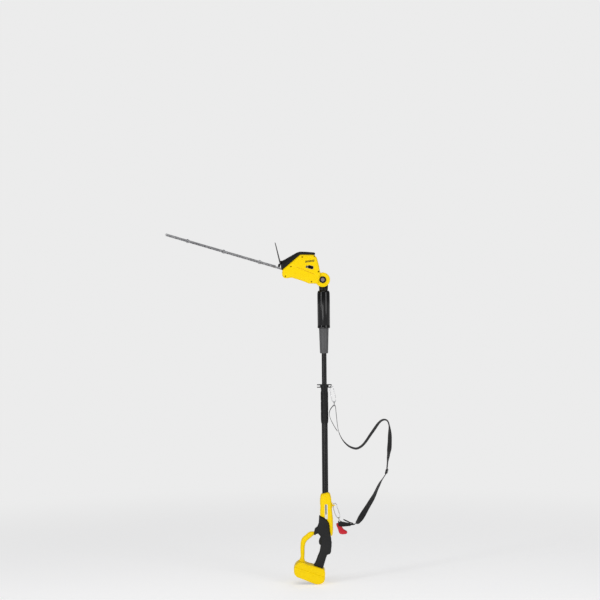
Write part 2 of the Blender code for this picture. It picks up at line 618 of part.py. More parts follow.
def make_handle():
    tube_bore = guide(rod(OUTER_RADIUS + 0.0003, OUTER_FOOT - 0.0005, 0.230))
    lead_way = guide(rod(0.0060, 0.020, 0.080, 16))
    pocket = block((-0.0400, -0.0088, -0.0045), (-0.0030, 0.0088, 0.0375))
    trigger_room = guide(pocket)
    switch_room = guide(block((-0.0035, -0.0100, -0.0250), (0.0062, 0.0100, 0.0400)))
    duct = [(-0.0080, -0.0200), (0.0020, -0.0200), (-0.0200, -0.1000), (-0.0380, -0.1000)]
    duct_room = guide(drawn(duct, -0.006, 0.006))
    lever_room = guide(block((0.0090, -0.0123, -0.0350), (0.0400, 0.0123, 0.0352)))
    core_room = inward(CORE, -0.0004)
    cover = [(x - 0.0004, z - 0.0004) for x, z in SEAM] + COVER_REST
    for place, side in (("front", -1), ("rear", 1)):
        near = side * GAP / 2
        shell = solid(f"handle_shell_{place}", drawn(HOUSING + SEAM[::-1], near, side * HOUSING_HALF, 0.0075),
                      "yellow_plastic")
        join(shell, guide(drawn(CORE, near, side * CORE_HALF, 0.004)),
             guide(drawn(FOOT, near, side * FOOT_HALF, 0.009)),
             guide(drawn(HAND_LOOP, near, side * LOOP_HALF, 0.003)))
        bay = guide(foot_room(-side * 0.005, side * 0.031))
        cut(shell, tube_bore, lead_way, trigger_room, switch_room, duct_room, lever_room, bay)
        skin = solid(f"grip_cover_{place}", drawn(cover, near, side * COVER_HALF, 0.006), "soft_black")
        cut(skin, guide(drawn(core_room, -side * 0.005, side * (CORE_HALF + 0.0004))),
            trigger_room, lever_room)
    rounded(solid("trigger", drawn(TRIGGER, -0.0082, 0.0082), "black_plastic", TRIGGER_PIVOT), 0.0012)
    rounded(solid("lock_lever", drawn(LEVER, -0.0118, 0.0118), "soft_black", LEVER_PIVOT), 0.0012)
    coil("trigger_spring", "X", (-0.0063, 0, 0.006), 0.0024, 0.0005, 0.0054, 3, "steel")
    coil("lever_spring", "X", (0.0120, 0, -0.020), 0.0026, 0.0005, 0.0042, 3, "steel")
    solid("trigger_switch", block((-0.0020, -0.0092, -0.0200), (0.0056, 0.0092, 0.0190)), "black_plastic")
    eye = solid("handle_eyelet", block((0.0264, -0.0080, 0.1480), (0.0284, 0.0080, 0.1680)), "yellow_plastic")
    lug = [(0.0270, -0.0070), (0.0320, -0.0065)] + arc((0.0322, 0), 0.0058, -75, 75, 8)
    lug += [(0.0320, 0.0065), (0.0270, 0.0070)]
    join(eye, guide(drawn(lug, 0.1560, 0.1600, plane="XY")))
    cut(eye, guide(rod(0.0031, 0.10, 0.20, 16, "Z", (0.0325, 0, 0))))


def foot_point(u, v):
    """A place in the foot: u along its sole towards the back, v up from the sole."""
    along = Vector((math.cos(FOOT_LEAN), 0, -math.sin(FOOT_LEAN)))
    up = Vector((math.sin(FOOT_LEAN), 0, math.cos(FOOT_LEAN)))
    return FOOT_BASE + along * u + up * v


def foot_room(near, far):
    """The battery bay and the room for the board above it, open at the sole."""
    corners = [(-0.041, -0.020), (0.042, -0.020), (0.042, 0.022), (0.050, 0.026), (0.048, 0.048),
               (-0.028, 0.052), (-0.045, 0.041), (-0.048, 0.026), (-0.041, 0.022)]
    outline = []
    for u, v in corners:
        spot = foot_point(u, v)
        outline.append((spot.x, spot.z))
    return drawn(outline, near, far)


def make_foot_parts():
    frame = bpy.data.objects.new("foot_frame", None)
    frame.location = FOOT_BASE
    frame.rotation_euler = (0.0, FOOT_LEAN, 0.0)
    bpy.context.scene.collection.objects.link(frame)
    shoe = solid("battery_shoe", block((-0.0405, -0.0305, 0.0140), (0.0415, 0.0305, 0.0180)),
                 "black_plastic", parent=frame)
    for side in (-1, 1):
        low, high = sorted((side * 0.0245, side * 0.0305))
        join(shoe, guide(block((-0.0400, low, 0.0030), (0.0410, high, 0.0150)), frame))
        low, high = sorted((side * 0.0190, side * 0.0250))
        join(shoe, guide(block((-0.0400, low, 0.0030), (0.0410, high, 0.0060)), frame))
    terminals = solid("terminal_block", block((0.0060, -0.0120, 0.0070), (0.0300, 0.0120, 0.0137)),
                      "black_plastic", parent=frame)
    for side in (-0.008, 0.0, 0.008):
        blade = block((-0.0060, side - 0.0005, 0.0085), (0.0080, side + 0.0005, 0.0125))
        join(terminals, guide(blade, frame))
    board = solid("control_board", block((-0.0400, -0.0280, 0.0280), (0.0440, 0.0280, 0.0296)),
                  "board_green", parent=frame)
    join(board, guide(block((-0.0200, -0.0180, 0.0290), (0.0060, 0.0040, 0.0380)), frame),
         guide(rod(0.0065, 0.0290, 0.0430, 16, "Z", (0.024, -0.012, 0)), frame),
         guide(block((0.0150, 0.0060, 0.0290), (0.0350, 0.0220, 0.0350)), frame))


# Strap ------------------------------------------------------------------------------------------

STRAP_ROUTE = [
    (0.0397, 0.5578), (0.0428, 0.5562), (0.0443, 0.5500), (0.0464, 0.5250), (0.0488, 0.5000),
    (0.0514, 0.4760), (0.0566, 0.4500), (0.0665, 0.4270), (0.0800, 0.4080), (0.1000, 0.3915),
    (0.1260, 0.3840), (0.1480, 0.3945), (0.1640, 0.4120), (0.1800, 0.4350), (0.2000, 0.4630),
    (0.2150, 0.4840), (0.2290, 0.4960), (0.2420, 0.4985), (0.2520, 0.4925), (0.2575, 0.4780),
    (0.2598, 0.4550), (0.2600, 0.4200), (0.2580, 0.3850), (0.2540, 0.3550), (0.2500, 0.3250),
    (0.2475, 0.3000), (0.2440, 0.2840), (0.2340, 0.2680), (0.2220, 0.2500), (0.2090, 0.2250),
    (0.1950, 0.1950), (0.1780, 0.1660), (0.1600, 0.1370), (0.1430, 0.1090), (0.1300, 0.0905),
    (0.1160, 0.0815), (0.1004, 0.0800),
]
# How far the webbing has turned about its own run, in degrees, at some points of the route
STRAP_TURN = {
    0: 0, 6: 0, 10: 9, 14: 14, 16: 8, 17: 6, 19: 10, 21: 34, 22: 38, 23: 24, 24: 12, 27: 10, 29: 24, 31: 42,
    33: 56, 34: 40, 35: 2, 36: 0,
}
UPPER_FOLD = [
    (0.0382, 0.5575), (0.0345, 0.5560), (0.0295, 0.5500), (0.0225, 0.5400), (0.0190, 0.5260),
    (0.0215, 0.5090), (0.0300, 0.4900), (0.0405, 0.4700), (0.0505, 0.4545),
]
LOWER_FOLD = [(0.1110, 0.0843), (0.1010, 0.0868), (0.0900, 0.0920), (0.0720, 0.1005)]


def turn_at(step):
    """The webbing's turn at a place on the route, in radians."""
    before = max(key for key in STRAP_TURN if key <= step)
    after = min((key for key in STRAP_TURN if key > step), default=before)
    share = (step - before) / (after - before) if after > before else 0.0
    share = share * share * (3 - 2 * share)
    return math.radians(STRAP_TURN[before] * (1 - share) + STRAP_TURN[after] * share)


def web_frames(route, steps, twisted):
    """Points along the webbing, each with its width direction and its face direction."""
    points = smooth([(x, 0.0, z) for x, z in route], steps)
    frames = []
    for i, point in enumerate(points):
        ahead = points[min(i + 1, len(points) - 1)] - points[max(i - 1, 0)]
        run = ahead.normalized()
        face = run.cross(Vector((0, 1, 0)))
        turn = turn_at(i / steps) if twisted else 0.0
        width = Vector((0, 1, 0)) * math.cos(turn) + face * math.sin(turn)
        frames.append((point, width, run.cross(width)))
    return frames


def webbing(name, route, steps, twisted=False):
    bm = bmesh.new()
    last = None
    for point, width, face in web_frames(route, steps, twisted):
        corners = []
        for a, b in ((-1, -1), (1, -1), (1, 1), (-1, 1)):
            corners.append(bm.verts.new(point + width * a * WEB_WIDTH / 2 + face * b * WEB_THICK / 2))
        if last is None:
            bm.faces.new(corners)
        else:
            for k in range(4):
                bm.faces.new((last[k], last[(k + 1) % 4], corners[(k + 1) % 4], corners[k]))
        last = corners
    bm.faces.new(last)
    bmesh.ops.recalc_face_normals(bm, faces=bm.faces)
    return solid(name, bm, "webbing")


def loop_points(points, steps=4):
    return smooth([(x, 0.0, z) for x, z in points], steps)


def eye_ring(name, apex, bar, half=0.0172):
    """A closed wire ring: round at the hook, with a straight bar for the webbing."""
    apex, bar = Vector((apex[0], 0, apex[1])), Vector((bar[0], 0, bar[1]))
    rise = apex - bar
    shape = [(0.0, 1.0), (0.004, 0.94), (0.0105, 0.60), (half - 0.0005, 0.30), (half, 0.10), (0.0155, 0.0)]
    points = [bar + rise * up + Vector((0, y, 0)) for y, up in shape]
    points += [bar + rise * up + Vector((0, -y, 0)) for y, up in reversed(shape[1:])]
    return wire(name, points, 0.0014, "wire_grey", cyclic=True)


def make_strap():
    webbing("strap_webbing", STRAP_ROUTE, 2, twisted=True)
    webbing("strap_fold_upper", UPPER_FOLD, 3)
    webbing("strap_fold_lower", LOWER_FOLD, 3)
    upper = [(0.0356, 0.6293), (0.0330, 0.6335), (0.0290, 0.6356), (0.0250, 0.6350), (0.0233, 0.6310),
             (0.0233, 0.6230), (0.0243, 0.6080), (0.0275, 0.5890), (0.0328, 0.5735), (0.0388, 0.5693),
             (0.0440, 0.5735), (0.0456, 0.5840)]
    wire("upper_hook", loop_points(upper), WIRE_RADIUS, "wire_grey")
    wire("upper_gate", [(0.0453, 0, 0.5875), (0.0361, 0, 0.6262)], 0.0013, "wire_grey",
         origin=(0.0453, 0, 0.5875))
    eye_ring("upper_ring", (0.0386, 0.5732), (0.0390, 0.5549))
    lower = [(0.0452, 0.1572), (0.0425, 0.1630), (0.0380, 0.1660), (0.0340, 0.1645), (0.0322, 0.1600),
             (0.0325, 0.1500), (0.0350, 0.1360), (0.0400, 0.1210), (0.0455, 0.1110), (0.0512, 0.1062),
             (0.0562, 0.1090), (0.0572, 0.1165)]
    wire("lower_hook", loop_points(lower), WIRE_RADIUS, "wire_grey")
    wire("lower_gate", [(0.0570, 0, 0.1202), (0.0459, 0, 0.1541)], 0.0013, "wire_grey",
         origin=(0.0570, 0, 0.1202))
    eye_ring("lower_ring", (0.0514, 0.1101), (0.0566, 0.0925), 0.0165)
    make_release()
    make_slider()


def make_release():
    body = [(0.0505, 0.0785), (0.0505, 0.0925), (0.0540, 0.0945), (0.0542, 0.0900), (0.0590, 0.0900),
            (0.0595, 0.0945), (0.0660, 0.0905), (0.1000, 0.0835), (0.1000, 0.0768), (0.0700, 0.0745),
            (0.0550, 0.0755)]
    buckle = solid("release_buckle", drawn(body, -0.018, 0.018), "black_plastic")
    cut(buckle, guide(block((0.040, -0.0092, 0.060), (0.0715, 0.0092, 0.0885))))
    tab = [(0.0540, 0.0872), (0.0470, 0.0866), (0.0425, 0.0835), (0.0430, 0.0790), (0.0490, 0.0640),
           (0.0530, 0.0500), (0.0570, 0.0440), (0.0670, 0.0418), (0.0820, 0.0430), (0.0875, 0.0480),
           (0.0850, 0.0545), (0.0735, 0.0605), (0.0670, 0.0690), (0.0640, 0.0800), (0.0610, 0.0868)]
    pivot = (0.0595, 0.0, 0.0825)
    rounded(solid("release_tab", drawn(tab, -0.0086, 0.0086), "red_plastic", pivot), 0.0015)


def make_slider():
    """The adjuster slide, a flat frame round the webbing."""
    frames = web_frames(STRAP_ROUTE, 2, True)
    point, width, face = frames[51]
    run = width.cross(face)
    holder = bpy.data.objects.new("slider_frame", None)
    holder.matrix_world = Matrix.Translation(point) @ Matrix((width, face, run)).transposed().to_4x4()
    bpy.context.scene.collection.objects.link(holder)
    slider = solid("strap_slider", block((-0.0190, -0.0034, -0.0090), (0.0190, 0.0034, 0.0090)),
                   "black_plastic", parent=holder)
    rounded(slider, 0.0010)
    cut(slider, guide(block((-0.0158, -0.0018, -0.030), (0.0158, 0.0018, 0.030)), holder))


clear_scene()
blade_frame = head_frame()
make_head_shells(blade_frame)
make_guard()
make_drive(blade_frame)
make_blades(blade_frame)
make_hinge()
make_pole()
make_clamp()
make_handle()
make_foot_parts()
make_strap()
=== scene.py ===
import json
import math

import bmesh
import bpy
import numpy as np
from mathutils import Matrix, Vector
from mathutils.geometry import delaunay_2d_cdt


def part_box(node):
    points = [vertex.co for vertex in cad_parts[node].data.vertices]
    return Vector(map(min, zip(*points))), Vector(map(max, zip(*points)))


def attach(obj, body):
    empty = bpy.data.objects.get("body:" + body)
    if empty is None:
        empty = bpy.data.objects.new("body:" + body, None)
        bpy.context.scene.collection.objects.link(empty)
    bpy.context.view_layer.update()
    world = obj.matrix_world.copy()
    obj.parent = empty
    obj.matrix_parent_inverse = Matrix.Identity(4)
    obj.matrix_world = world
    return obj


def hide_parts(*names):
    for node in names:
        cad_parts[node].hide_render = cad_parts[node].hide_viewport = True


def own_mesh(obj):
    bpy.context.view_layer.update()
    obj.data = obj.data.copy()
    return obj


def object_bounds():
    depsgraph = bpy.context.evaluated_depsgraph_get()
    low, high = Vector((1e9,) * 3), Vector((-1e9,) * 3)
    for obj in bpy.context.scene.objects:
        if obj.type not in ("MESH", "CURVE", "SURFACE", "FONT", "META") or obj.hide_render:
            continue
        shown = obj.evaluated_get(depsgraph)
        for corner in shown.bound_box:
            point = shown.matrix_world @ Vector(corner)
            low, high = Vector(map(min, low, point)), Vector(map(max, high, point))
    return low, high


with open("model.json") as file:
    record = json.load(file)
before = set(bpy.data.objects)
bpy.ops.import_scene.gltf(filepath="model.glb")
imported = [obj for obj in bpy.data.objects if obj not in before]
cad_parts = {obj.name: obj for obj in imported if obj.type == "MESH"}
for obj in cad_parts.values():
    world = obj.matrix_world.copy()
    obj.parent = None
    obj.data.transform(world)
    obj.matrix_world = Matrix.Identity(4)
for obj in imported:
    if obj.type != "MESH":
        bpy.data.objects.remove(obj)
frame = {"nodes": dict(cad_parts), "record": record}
cadLow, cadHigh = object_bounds()
nodes = frame["nodes"]
print("frame loaded:", len(nodes), "nodes, box", [round(v, 4) for v in cadHigh - cadLow])


cameraSetup = {
    "target": (-0.0943, 0.0, 0.980),  # middle of the picture, on the tool's own plane
    "distance": 6.0,
    "height": 0.980,
    "width": 2.400,  # what the picture spans at the tool
    "roll": -0.50,  # degrees
}


def linked(name, data):
    obj = bpy.data.objects.new(name, data)
    bpy.context.scene.collection.objects.link(obj)
    return obj


def makeCamera(c):
    data = bpy.data.cameras.new("camera")
    cam = linked("camera", data)
    target = Vector(c["target"])
    place = Vector((target.x, -c["distance"], c["height"]))
    aim = (target - place).to_track_quat("-Z", "Y").to_matrix()
    turn = Matrix.Rotation(math.radians(c["roll"]), 3, "Z")
    cam.matrix_world = Matrix.Translation(place) @ (aim @ turn).to_4x4()
    data.sensor_width = 36.0
    data.lens = 36.0 * (target - place).length / c["width"]
    data.dof.use_dof = False
    bpy.context.scene.camera = cam


studio = {
    "paper": 0.838,  # brightness of the paper and of the air behind it
    "sky": 0.27,
    "matt": (0.66, 0.66, 0.665, 1),  # the floor's own colour
    "glow": 0.43,  # light through the paper, which keeps shadows weak
    "fade": (0.9, 3.2),  # metres over which the floor turns into plain paper
    "floorSize": 40.0,
    "underFoot": 0.0006,  # air between the foot and the floor
}
softboxes = [  # name, place, what it faces, width, height, watts
    ("boxLeft", (-2.6, -2.4, 1.5), (-0.1, 0.0, 0.75), 0.5, 2.6, 34.0),
    ("boxRight", (2.3, -2.3, 1.3), (0.0, 0.0, 0.65), 1.2, 2.6, 34.0),
    ("boxTop", (-0.4, -1.2, 3.4), (-0.1, 0.0, 0.7), 2.4, 1.8, 19.0),
    ("boxLow", (-0.7, -2.2, 0.35), (-0.05, 0.0, 0.0), 0.9, 0.7, 9.0),
    ("boxBack", (0.9, 2.4, 2.6), (0.0, 0.0, 0.7), 1.6, 1.6, 12.0),
]


def add(tree, kind, inputs=(), **settings):
    # a shader or geometry node; an input takes a value or another node's output
    made = tree.nodes.new(kind)
    for name, value in settings.items():
        setattr(made, name, value)
    for key, value in dict(inputs).items():
        if isinstance(value, bpy.types.NodeSocket):
            tree.links.new(value, made.inputs[key])
        else:
            made.inputs[key].default_value = value
    return made


def grey(value):
    return (value, value, value, 1)


def makeStudio(s):
    bpy.context.scene.view_settings.view_transform = "Standard"
    world = bpy.data.worlds.new("paperLight")
    bpy.context.scene.world = world
    world.use_nodes = True
    tree = world.node_tree
    tree.nodes.clear()
    rays = add(tree, "ShaderNodeLightPath")
    lit = add(tree, "ShaderNodeBackground", {"Color": (s["sky"], s["sky"], s["sky"] * 1.01, 1)})
    seen = add(tree, "ShaderNodeBackground", {"Color": grey(s["paper"])})
    mix = add(tree, "ShaderNodeMixShader", {0: rays.outputs["Is Camera Ray"], 1: lit.outputs[0],
                                            2: seen.outputs[0]})
    add(tree, "ShaderNodeOutputWorld", {0: mix.outputs[0]})

    for name, place, aim, width, height, watts in softboxes:
        light = bpy.data.lights.new(name, "AREA")
        light.shape = "RECTANGLE"
        light.size, light.size_y = width, height
        light.energy = watts
        lamp = linked(name, light)
        lamp.location = place
        lamp.rotation_euler = (Vector(aim) - Vector(place)).to_track_quat("-Z", "Y").to_euler()

    half = s["floorSize"] / 2
    low = cadLow.z - s["underFoot"]
    mesh = bpy.data.meshes.new("floor")
    mesh.from_pydata([(-half, -half, low), (half, -half, low), (half, half, low), (-half, half, low)], [],
                     [(0, 1, 2, 3)])
    floor = linked("floor", mesh)
    paper = bpy.data.materials.new("paperFloor")
    paper.use_nodes = True
    tree = paper.node_tree
    tree.nodes.clear()
    coords = add(tree, "ShaderNodeTexCoord")
    far = add(tree, "ShaderNodeVectorMath", {0: coords.outputs["Object"]}, operation="LENGTH")
    fade = add(tree, "ShaderNodeMapRange", {"Value": far.outputs["Value"], "From Min": s["fade"][0],
                                            "From Max": s["fade"][1]}, interpolation_type="SMOOTHSTEP")
    matt = add(tree, "ShaderNodeBsdfDiffuse", {"Color": s["matt"]})
    glow = add(tree, "ShaderNodeEmission", {"Color": grey(s["glow"])})
    near = add(tree, "ShaderNodeAddShader", {0: matt.outputs[0], 1: glow.outputs[0]})
    plain = add(tree, "ShaderNodeEmission", {"Color": grey(s["paper"])})
    mix = add(tree, "ShaderNodeMixShader", {0: fade.outputs[0], 1: near.outputs[0], 2: plain.outputs[0]})
    add(tree, "ShaderNodeOutputMaterial", {0: mix.outputs[0]})
    mesh.materials.append(paper)


makeCamera(cameraSetup)
makeStudio(studio)
print("camera and studio ready")


def shaderOf(name, colour, roughness, metallic=0.0, **more):
    made = bpy.data.materials.new(name)
    made.use_nodes = True
    shader = made.node_tree.nodes["Principled BSDF"]
    shader.inputs["Base Color"].default_value = (*colour, 1)
    shader.inputs["Roughness"].default_value = roughness
    shader.inputs["Metallic"].default_value = metallic
    for socket, value in more.items():
        shader.inputs[socket.replace("_", " ")].default_value = value
    return made, made.node_tree, shader


def objectCoords(tree, scale=(1, 1, 1)):
    where = add(tree, "ShaderNodeTexCoord").outputs["Object"]
    return add(tree, "ShaderNodeMapping", {"Vector": where, "Scale": scale}).outputs[0]


def noiseOn(tree, vector, scale, detail=3.0, rough=0.55):
    return add(tree, "ShaderNodeTexNoise", {"Vector": vector, "Scale": scale, "Detail": detail,
                                            "Roughness": rough}).outputs["Fac"]


def spread(tree, value, low, high):
    # noise seldom leaves 0.3 to 0.7
    return add(tree, "ShaderNodeMapRange", {"Value": value, "From Min": 0.3, "From Max": 0.7, "To Min": low,
                                            "To Max": high}).outputs[0]


def blendColours(tree, factor, first, second):
    colours = {0: factor, 6: (*first, 1), 7: (*second, 1)}
    return add(tree, "ShaderNodeMix", colours, data_type="RGBA").outputs[2]


def bumpOn(tree, shader, height, strength, distance):
    bump = add(tree, "ShaderNodeBump", {"Height": height, "Strength": strength, "Distance": distance})
    tree.links.new(bump.outputs[0], shader.inputs["Normal"])


def moulded(name, colour, shade, roughness, grain=1400.0, depth=0.00006, strength=0.25, **more):
    made, tree, shader = shaderOf(name, colour, roughness, **more)
    where = objectCoords(tree)
    drift = spread(tree, noiseOn(tree, where, 9.0, 4.0), 0.0, 1.0)
    tree.links.new(blendColours(tree, drift, colour, shade), shader.inputs["Base Color"])
    polish = spread(tree, noiseOn(tree, where, 46.0, 5.0), roughness * 0.86, roughness * 1.14)
    tree.links.new(polish, shader.inputs["Roughness"])
    bumpOn(tree, shader, noiseOn(tree, where, grain, 2.0, 0.6), strength, depth)
    return made


def groundMetal(name, colour, shade, roughness, stretch, scale=260.0):
    made, tree, shader = shaderOf(name, colour, roughness, 1.0)
    lines = noiseOn(tree, objectCoords(tree, stretch), scale, 3.0, 0.7)
    stains = spread(tree, noiseOn(tree, objectCoords(tree), 22.0, 5.0), 0.0, 1.0)
    tree.links.new(blendColours(tree, stains, colour, shade), shader.inputs["Base Color"])
    tree.links.new(spread(tree, lines, roughness * 0.75, roughness * 1.35), shader.inputs["Roughness"])
    bumpOn(tree, shader, lines, 0.2, 0.00004)
    return made


def wovenWeb(name, colour, shade):
    made, tree, shader = shaderOf(name, colour, 0.78, 0.0, Sheen_Weight=0.10, Specular_IOR_Level=0.2)
    uv = add(tree, "ShaderNodeUVMap", uv_map="UVMap").outputs[0]
    ribs = {}
    for k, lean in enumerate((38, -38)):
        turn = (0, 0, math.radians(lean))
        leaning = add(tree, "ShaderNodeMapping", {"Vector": uv, "Rotation": turn}).outputs[0]
        wave = add(tree, "ShaderNodeTexWave", {"Vector": leaning, "Scale": 330.0, "Distortion": 0.3})
        ribs[k] = wave.outputs["Fac"]
    both = add(tree, "ShaderNodeMath", ribs, operation="MAXIMUM").outputs[0]
    tree.links.new(blendColours(tree, both, shade, colour), shader.inputs["Base Color"])
    bumpOn(tree, shader, both, 0.6, 0.00025)
    return made


yellow = moulded("yellowShell", (0.89, 0.625, 0.0), (0.85, 0.585, 0.0), 0.40, Specular_IOR_Level=0.12)
blackShell = moulded("blackShell", (0.0035, 0.0035, 0.004), (0.0070, 0.0070, 0.0075), 0.42,
                     Specular_IOR_Level=0.22)
glossBlack = moulded("glossSleeve", (0.002, 0.002, 0.0022), (0.0035, 0.0035, 0.004), 0.14, strength=0.05,
                     Specular_IOR_Level=0.30)
softBlack = moulded("softGrip", (0.006, 0.006, 0.0065), (0.011, 0.011, 0.012), 0.66, 700.0, 0.00012, 0.5,
                    Specular_IOR_Level=0.25)
gripFinish = moulded("ribbedGrip", (0.007, 0.007, 0.0075), (0.013, 0.013, 0.0135), 0.58, 520.0, 0.00018, 0.6,
                     Specular_IOR_Level=0.25)
paleFinish = moulded("paleInlay", (0.66, 0.66, 0.62), (0.58, 0.58, 0.55), 0.40)
threadFinish = moulded("strapThread", (0.035, 0.035, 0.037), (0.022, 0.022, 0.024), 0.7)
greyShell = moulded("greySocket", (0.072, 0.072, 0.074), (0.095, 0.095, 0.099), 0.44, Specular_IOR_Level=0.25)
tubeFinish = moulded("anodisedTube", (0.0028, 0.0028, 0.0030), (0.0055, 0.0055, 0.006), 0.28, 2600.0, 0.00003,
                     0.15, Specular_IOR_Level=0.24)
bladeFinish = groundMetal("groundBlade", (0.42, 0.42, 0.43), (0.30, 0.30, 0.31), 0.46, (1, 0.05, 1))
steelFinish = groundMetal("turnedSteel", (0.50, 0.50, 0.51), (0.38, 0.38, 0.39), 0.30, (1, 1, 0.05))
screwFinish = groundMetal("blackenedSteel", (0.055, 0.052, 0.048), (0.03, 0.03, 0.03), 0.38, (1, 1, 1), 600.0)
wireFinish = groundMetal("platedWire", (0.58, 0.58, 0.59), (0.45, 0.45, 0.46), 0.30, (1, 1, 1), 500.0)
buttonFinish = moulded("tiltButton", (0.215, 0.165, 0.185), (0.17, 0.13, 0.145), 0.42)
redFinish = moulded("redTab", (0.56, 0.006, 0.020), (0.47, 0.005, 0.017), 0.34, Specular_IOR_Level=0.35)
webFinish = wovenWeb("blackWebbing", (0.008, 0.008, 0.0085), (0.003, 0.003, 0.0035))
copperFinish = groundMetal("windings", (0.72, 0.34, 0.18), (0.5, 0.2, 0.1), 0.4, (1, 1, 6), 300.0)
boardFinish = moulded("circuitBoard", (0.02, 0.16, 0.07), (0.015, 0.12, 0.05), 0.4)
print("materials:", len(bpy.data.materials))

finishOf = {
    "yellow_plastic": yellow, "black_plastic": blackShell, "gloss_black": glossBlack, "soft_black": softBlack,
    "grey_plastic": greyShell, "tube_black": tubeFinish, "steel": steelFinish, "blade_steel": bladeFinish,
    "wire_grey": wireFinish, "button_grey": buttonFinish, "red_plastic": redFinish, "webbing": webFinish,
    "copper": copperFinish, "board_green": boardFinish,
}
ownSlot = {part["node"]: part["material_slot"] for part in frame["record"]["subparts"]}
ownBody = {node: body for body, own in frame["record"]["behaviour"]["bodies"].items() for node in own}
for node, slotName in ownSlot.items():
    for slot in nodes[node].material_slots:
        slot.material = finishOf[slotName]


def place(name, bm, finish, body, node=None):
    mesh = bpy.data.meshes.new(name)
    bm.to_mesh(mesh)
    bm.free()
    for face in mesh.polygons:
        face.use_smooth = True
    mesh.set_sharp_from_angle(angle=math.radians(32))
    mesh.materials.append(finish)
    obj = linked(name, mesh)
    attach(obj, body)
    if node:
        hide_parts(node)
    return obj


def stand(name, bm, node, finish=None):
    # a finer piece that stands for a node, on the same body
    return place(name, bm, finish or finishOf[ownSlot[node]], ownBody[node], node)


def mm(points):
    # outlines and profiles are written in millimetres
    return [tuple(v / 1000 for v in point) for point in points]


def outward(bm):
    bmesh.ops.recalc_face_normals(bm, faces=bm.faces)
    return bm


def moved(bm, x, y, z):
    bmesh.ops.translate(bm, verts=bm.verts, vec=(x, y, z))
    return bm


def vertsOf(geom):
    return [item for item in geom if isinstance(item, bmesh.types.BMVert)]


def softCorners(outline, radius, steps=5, share=0.45):
    made = []
    for i, corner in enumerate(outline):
        here, before, after = Vector(corner), Vector(outline[i - 1]), Vector(outline[(i + 1) % len(outline)])
        reach = min(radius, share * (here - before).length, share * (after - here).length)
        a = here + (before - here).normalized() * reach
        b = here + (after - here).normalized() * reach
        made += [a.lerp(here, t).lerp(here.lerp(b, t), t) for t in (k / steps for k in range(steps + 1))]
    return made


def evenly(points, step):
    made = []
    for i, here in enumerate(points):
        after = points[(i + 1) % len(points)]
        count = max(1, round((after - here).length / step))
        made += [here.lerp(after, k / count) for k in range(count)]
    return np.array(made)


def depthIn(points, loop):
    run = np.roll(loop, -1, 0) - loop
    away = points[:, None] - loop
    share = np.clip((away * run).sum(2) / (run * run).sum(1), 0, 1)
    return np.linalg.norm(away - share[..., None] * run, axis=2).min(1)


def inwardOf(loop):
    run = np.roll(loop, -1, 0) - np.roll(loop, 1, 0)
    area = (loop[:, 0] * np.roll(loop, -1, 0)[:, 1] - np.roll(loop, -1, 0)[:, 0] * loop[:, 1]).sum()
    side = np.stack([-run[:, 1], run[:, 0]], 1) * (1 if area > 0 else -1)
    return side / np.linalg.norm(side, axis=1)[:, None]


def shrunk(outline, distance):
    loop = evenly(softCorners(outline, 0.004, 3), 0.003)
    inner = loop + inwardOf(loop) * distance
    return [tuple(p) for p in inner[depthIn(inner, loop) > distance * 0.98]]


def crowned(outline, s, side, near=0.00015, relief=None):
    # half a moulding: a wall up from the parting plane, a round rim and a face that swells a little
    rim, crown, step = s["rim"], s["crown"], s["step"]
    base = s["half"] - rim - crown
    loop = evenly(softCorners(outline, s["corner"]), step)
    inner = inwardOf(loop)
    spots = [loop]
    for angle in (14, 28, 42, 57, 73, 90):
        ring = loop + inner * rim * (1 - math.cos(math.radians(angle)))
        spots.append(ring[depthIn(ring, loop) > rim * (1 - math.cos(math.radians(angle))) * 0.985])
    low, high = loop.min(0), loop.max(0)
    rows = np.arange(low[1], high[1], step * 0.87)
    columns = np.arange(low[0], high[0], step)
    grid = np.array([(x + (i % 2) * step / 2, z) for i, z in enumerate(rows) for x in columns])
    # the grid is kept where it lies inside the outline's own triangles
    coarse = delaunay_2d_cdt([Vector(p) for p in loop], [], [list(range(len(loop)))], 1, 1e-7)
    inside = np.zeros(len(grid), bool)
    for face in coarse[2]:
        a, b, c = (np.array(coarse[0][k]) for k in face)
        cross = [(q[0] - p[0]) * (grid[:, 1] - p[1]) - (q[1] - p[1]) * (grid[:, 0] - p[0])
                 for p, q in ((a, b), (b, c), (c, a))]
        inside |= (np.minimum.reduce(cross) >= 0) | (np.maximum.reduce(cross) <= 0)
    grid = grid[inside]
    spots.append(grid[depthIn(grid, loop) > rim + step * 0.5])
    flat = np.concatenate(spots)
    edges = [(i, (i + 1) % len(loop)) for i in range(len(loop))]
    points, _, faces, *_ = delaunay_2d_cdt([Vector(p) for p in flat], edges, [], 1, 1e-7)
    places = np.array([tuple(p) for p in points])
    depth = depthIn(places, loop)
    lift = rim * np.sqrt(np.clip(1 - (1 - np.minimum(depth / rim, 1)) ** 2, 0, 1))
    swell = crown * (1 - (1 - np.clip((depth - rim * 0.4) / (rim * 3), 0, 1)) ** 2)
    tall = base + lift + swell
    if relief:
        tall = tall + relief(places[:, 0], places[:, 1]) * np.clip(depth / rim, 0, 1)
    bm = bmesh.new()
    verts = [bm.verts.new((x, side * y, z)) for (x, z), y in zip(places, tall)]
    for face in faces:
        bm.faces.new([verts[k] for k in face])
    chamfer = 0.0003 if near > 0 else 0.0
    for height, inset in ((near + chamfer, 0.0), (near, chamfer)):
        rimEdges = [edge for edge in bm.edges if edge.is_boundary]
        for vert in vertsOf(bmesh.ops.extrude_edge_only(bm, edges=rimEdges)["geom"]):
            x, _, z = vert.co
            inX, inZ = inner[np.abs(loop - (x, z)).sum(1).argmin()] * inset
            vert.co = (x + inX, side * height, z + inZ)
        if not chamfer:
            return bm
    cap = bmesh.ops.edgeloop_fill(bm, edges=[edge for edge in bm.edges if edge.is_boundary])["faces"]
    bmesh.ops.triangulate(bm, faces=cap)
    return outward(bm)


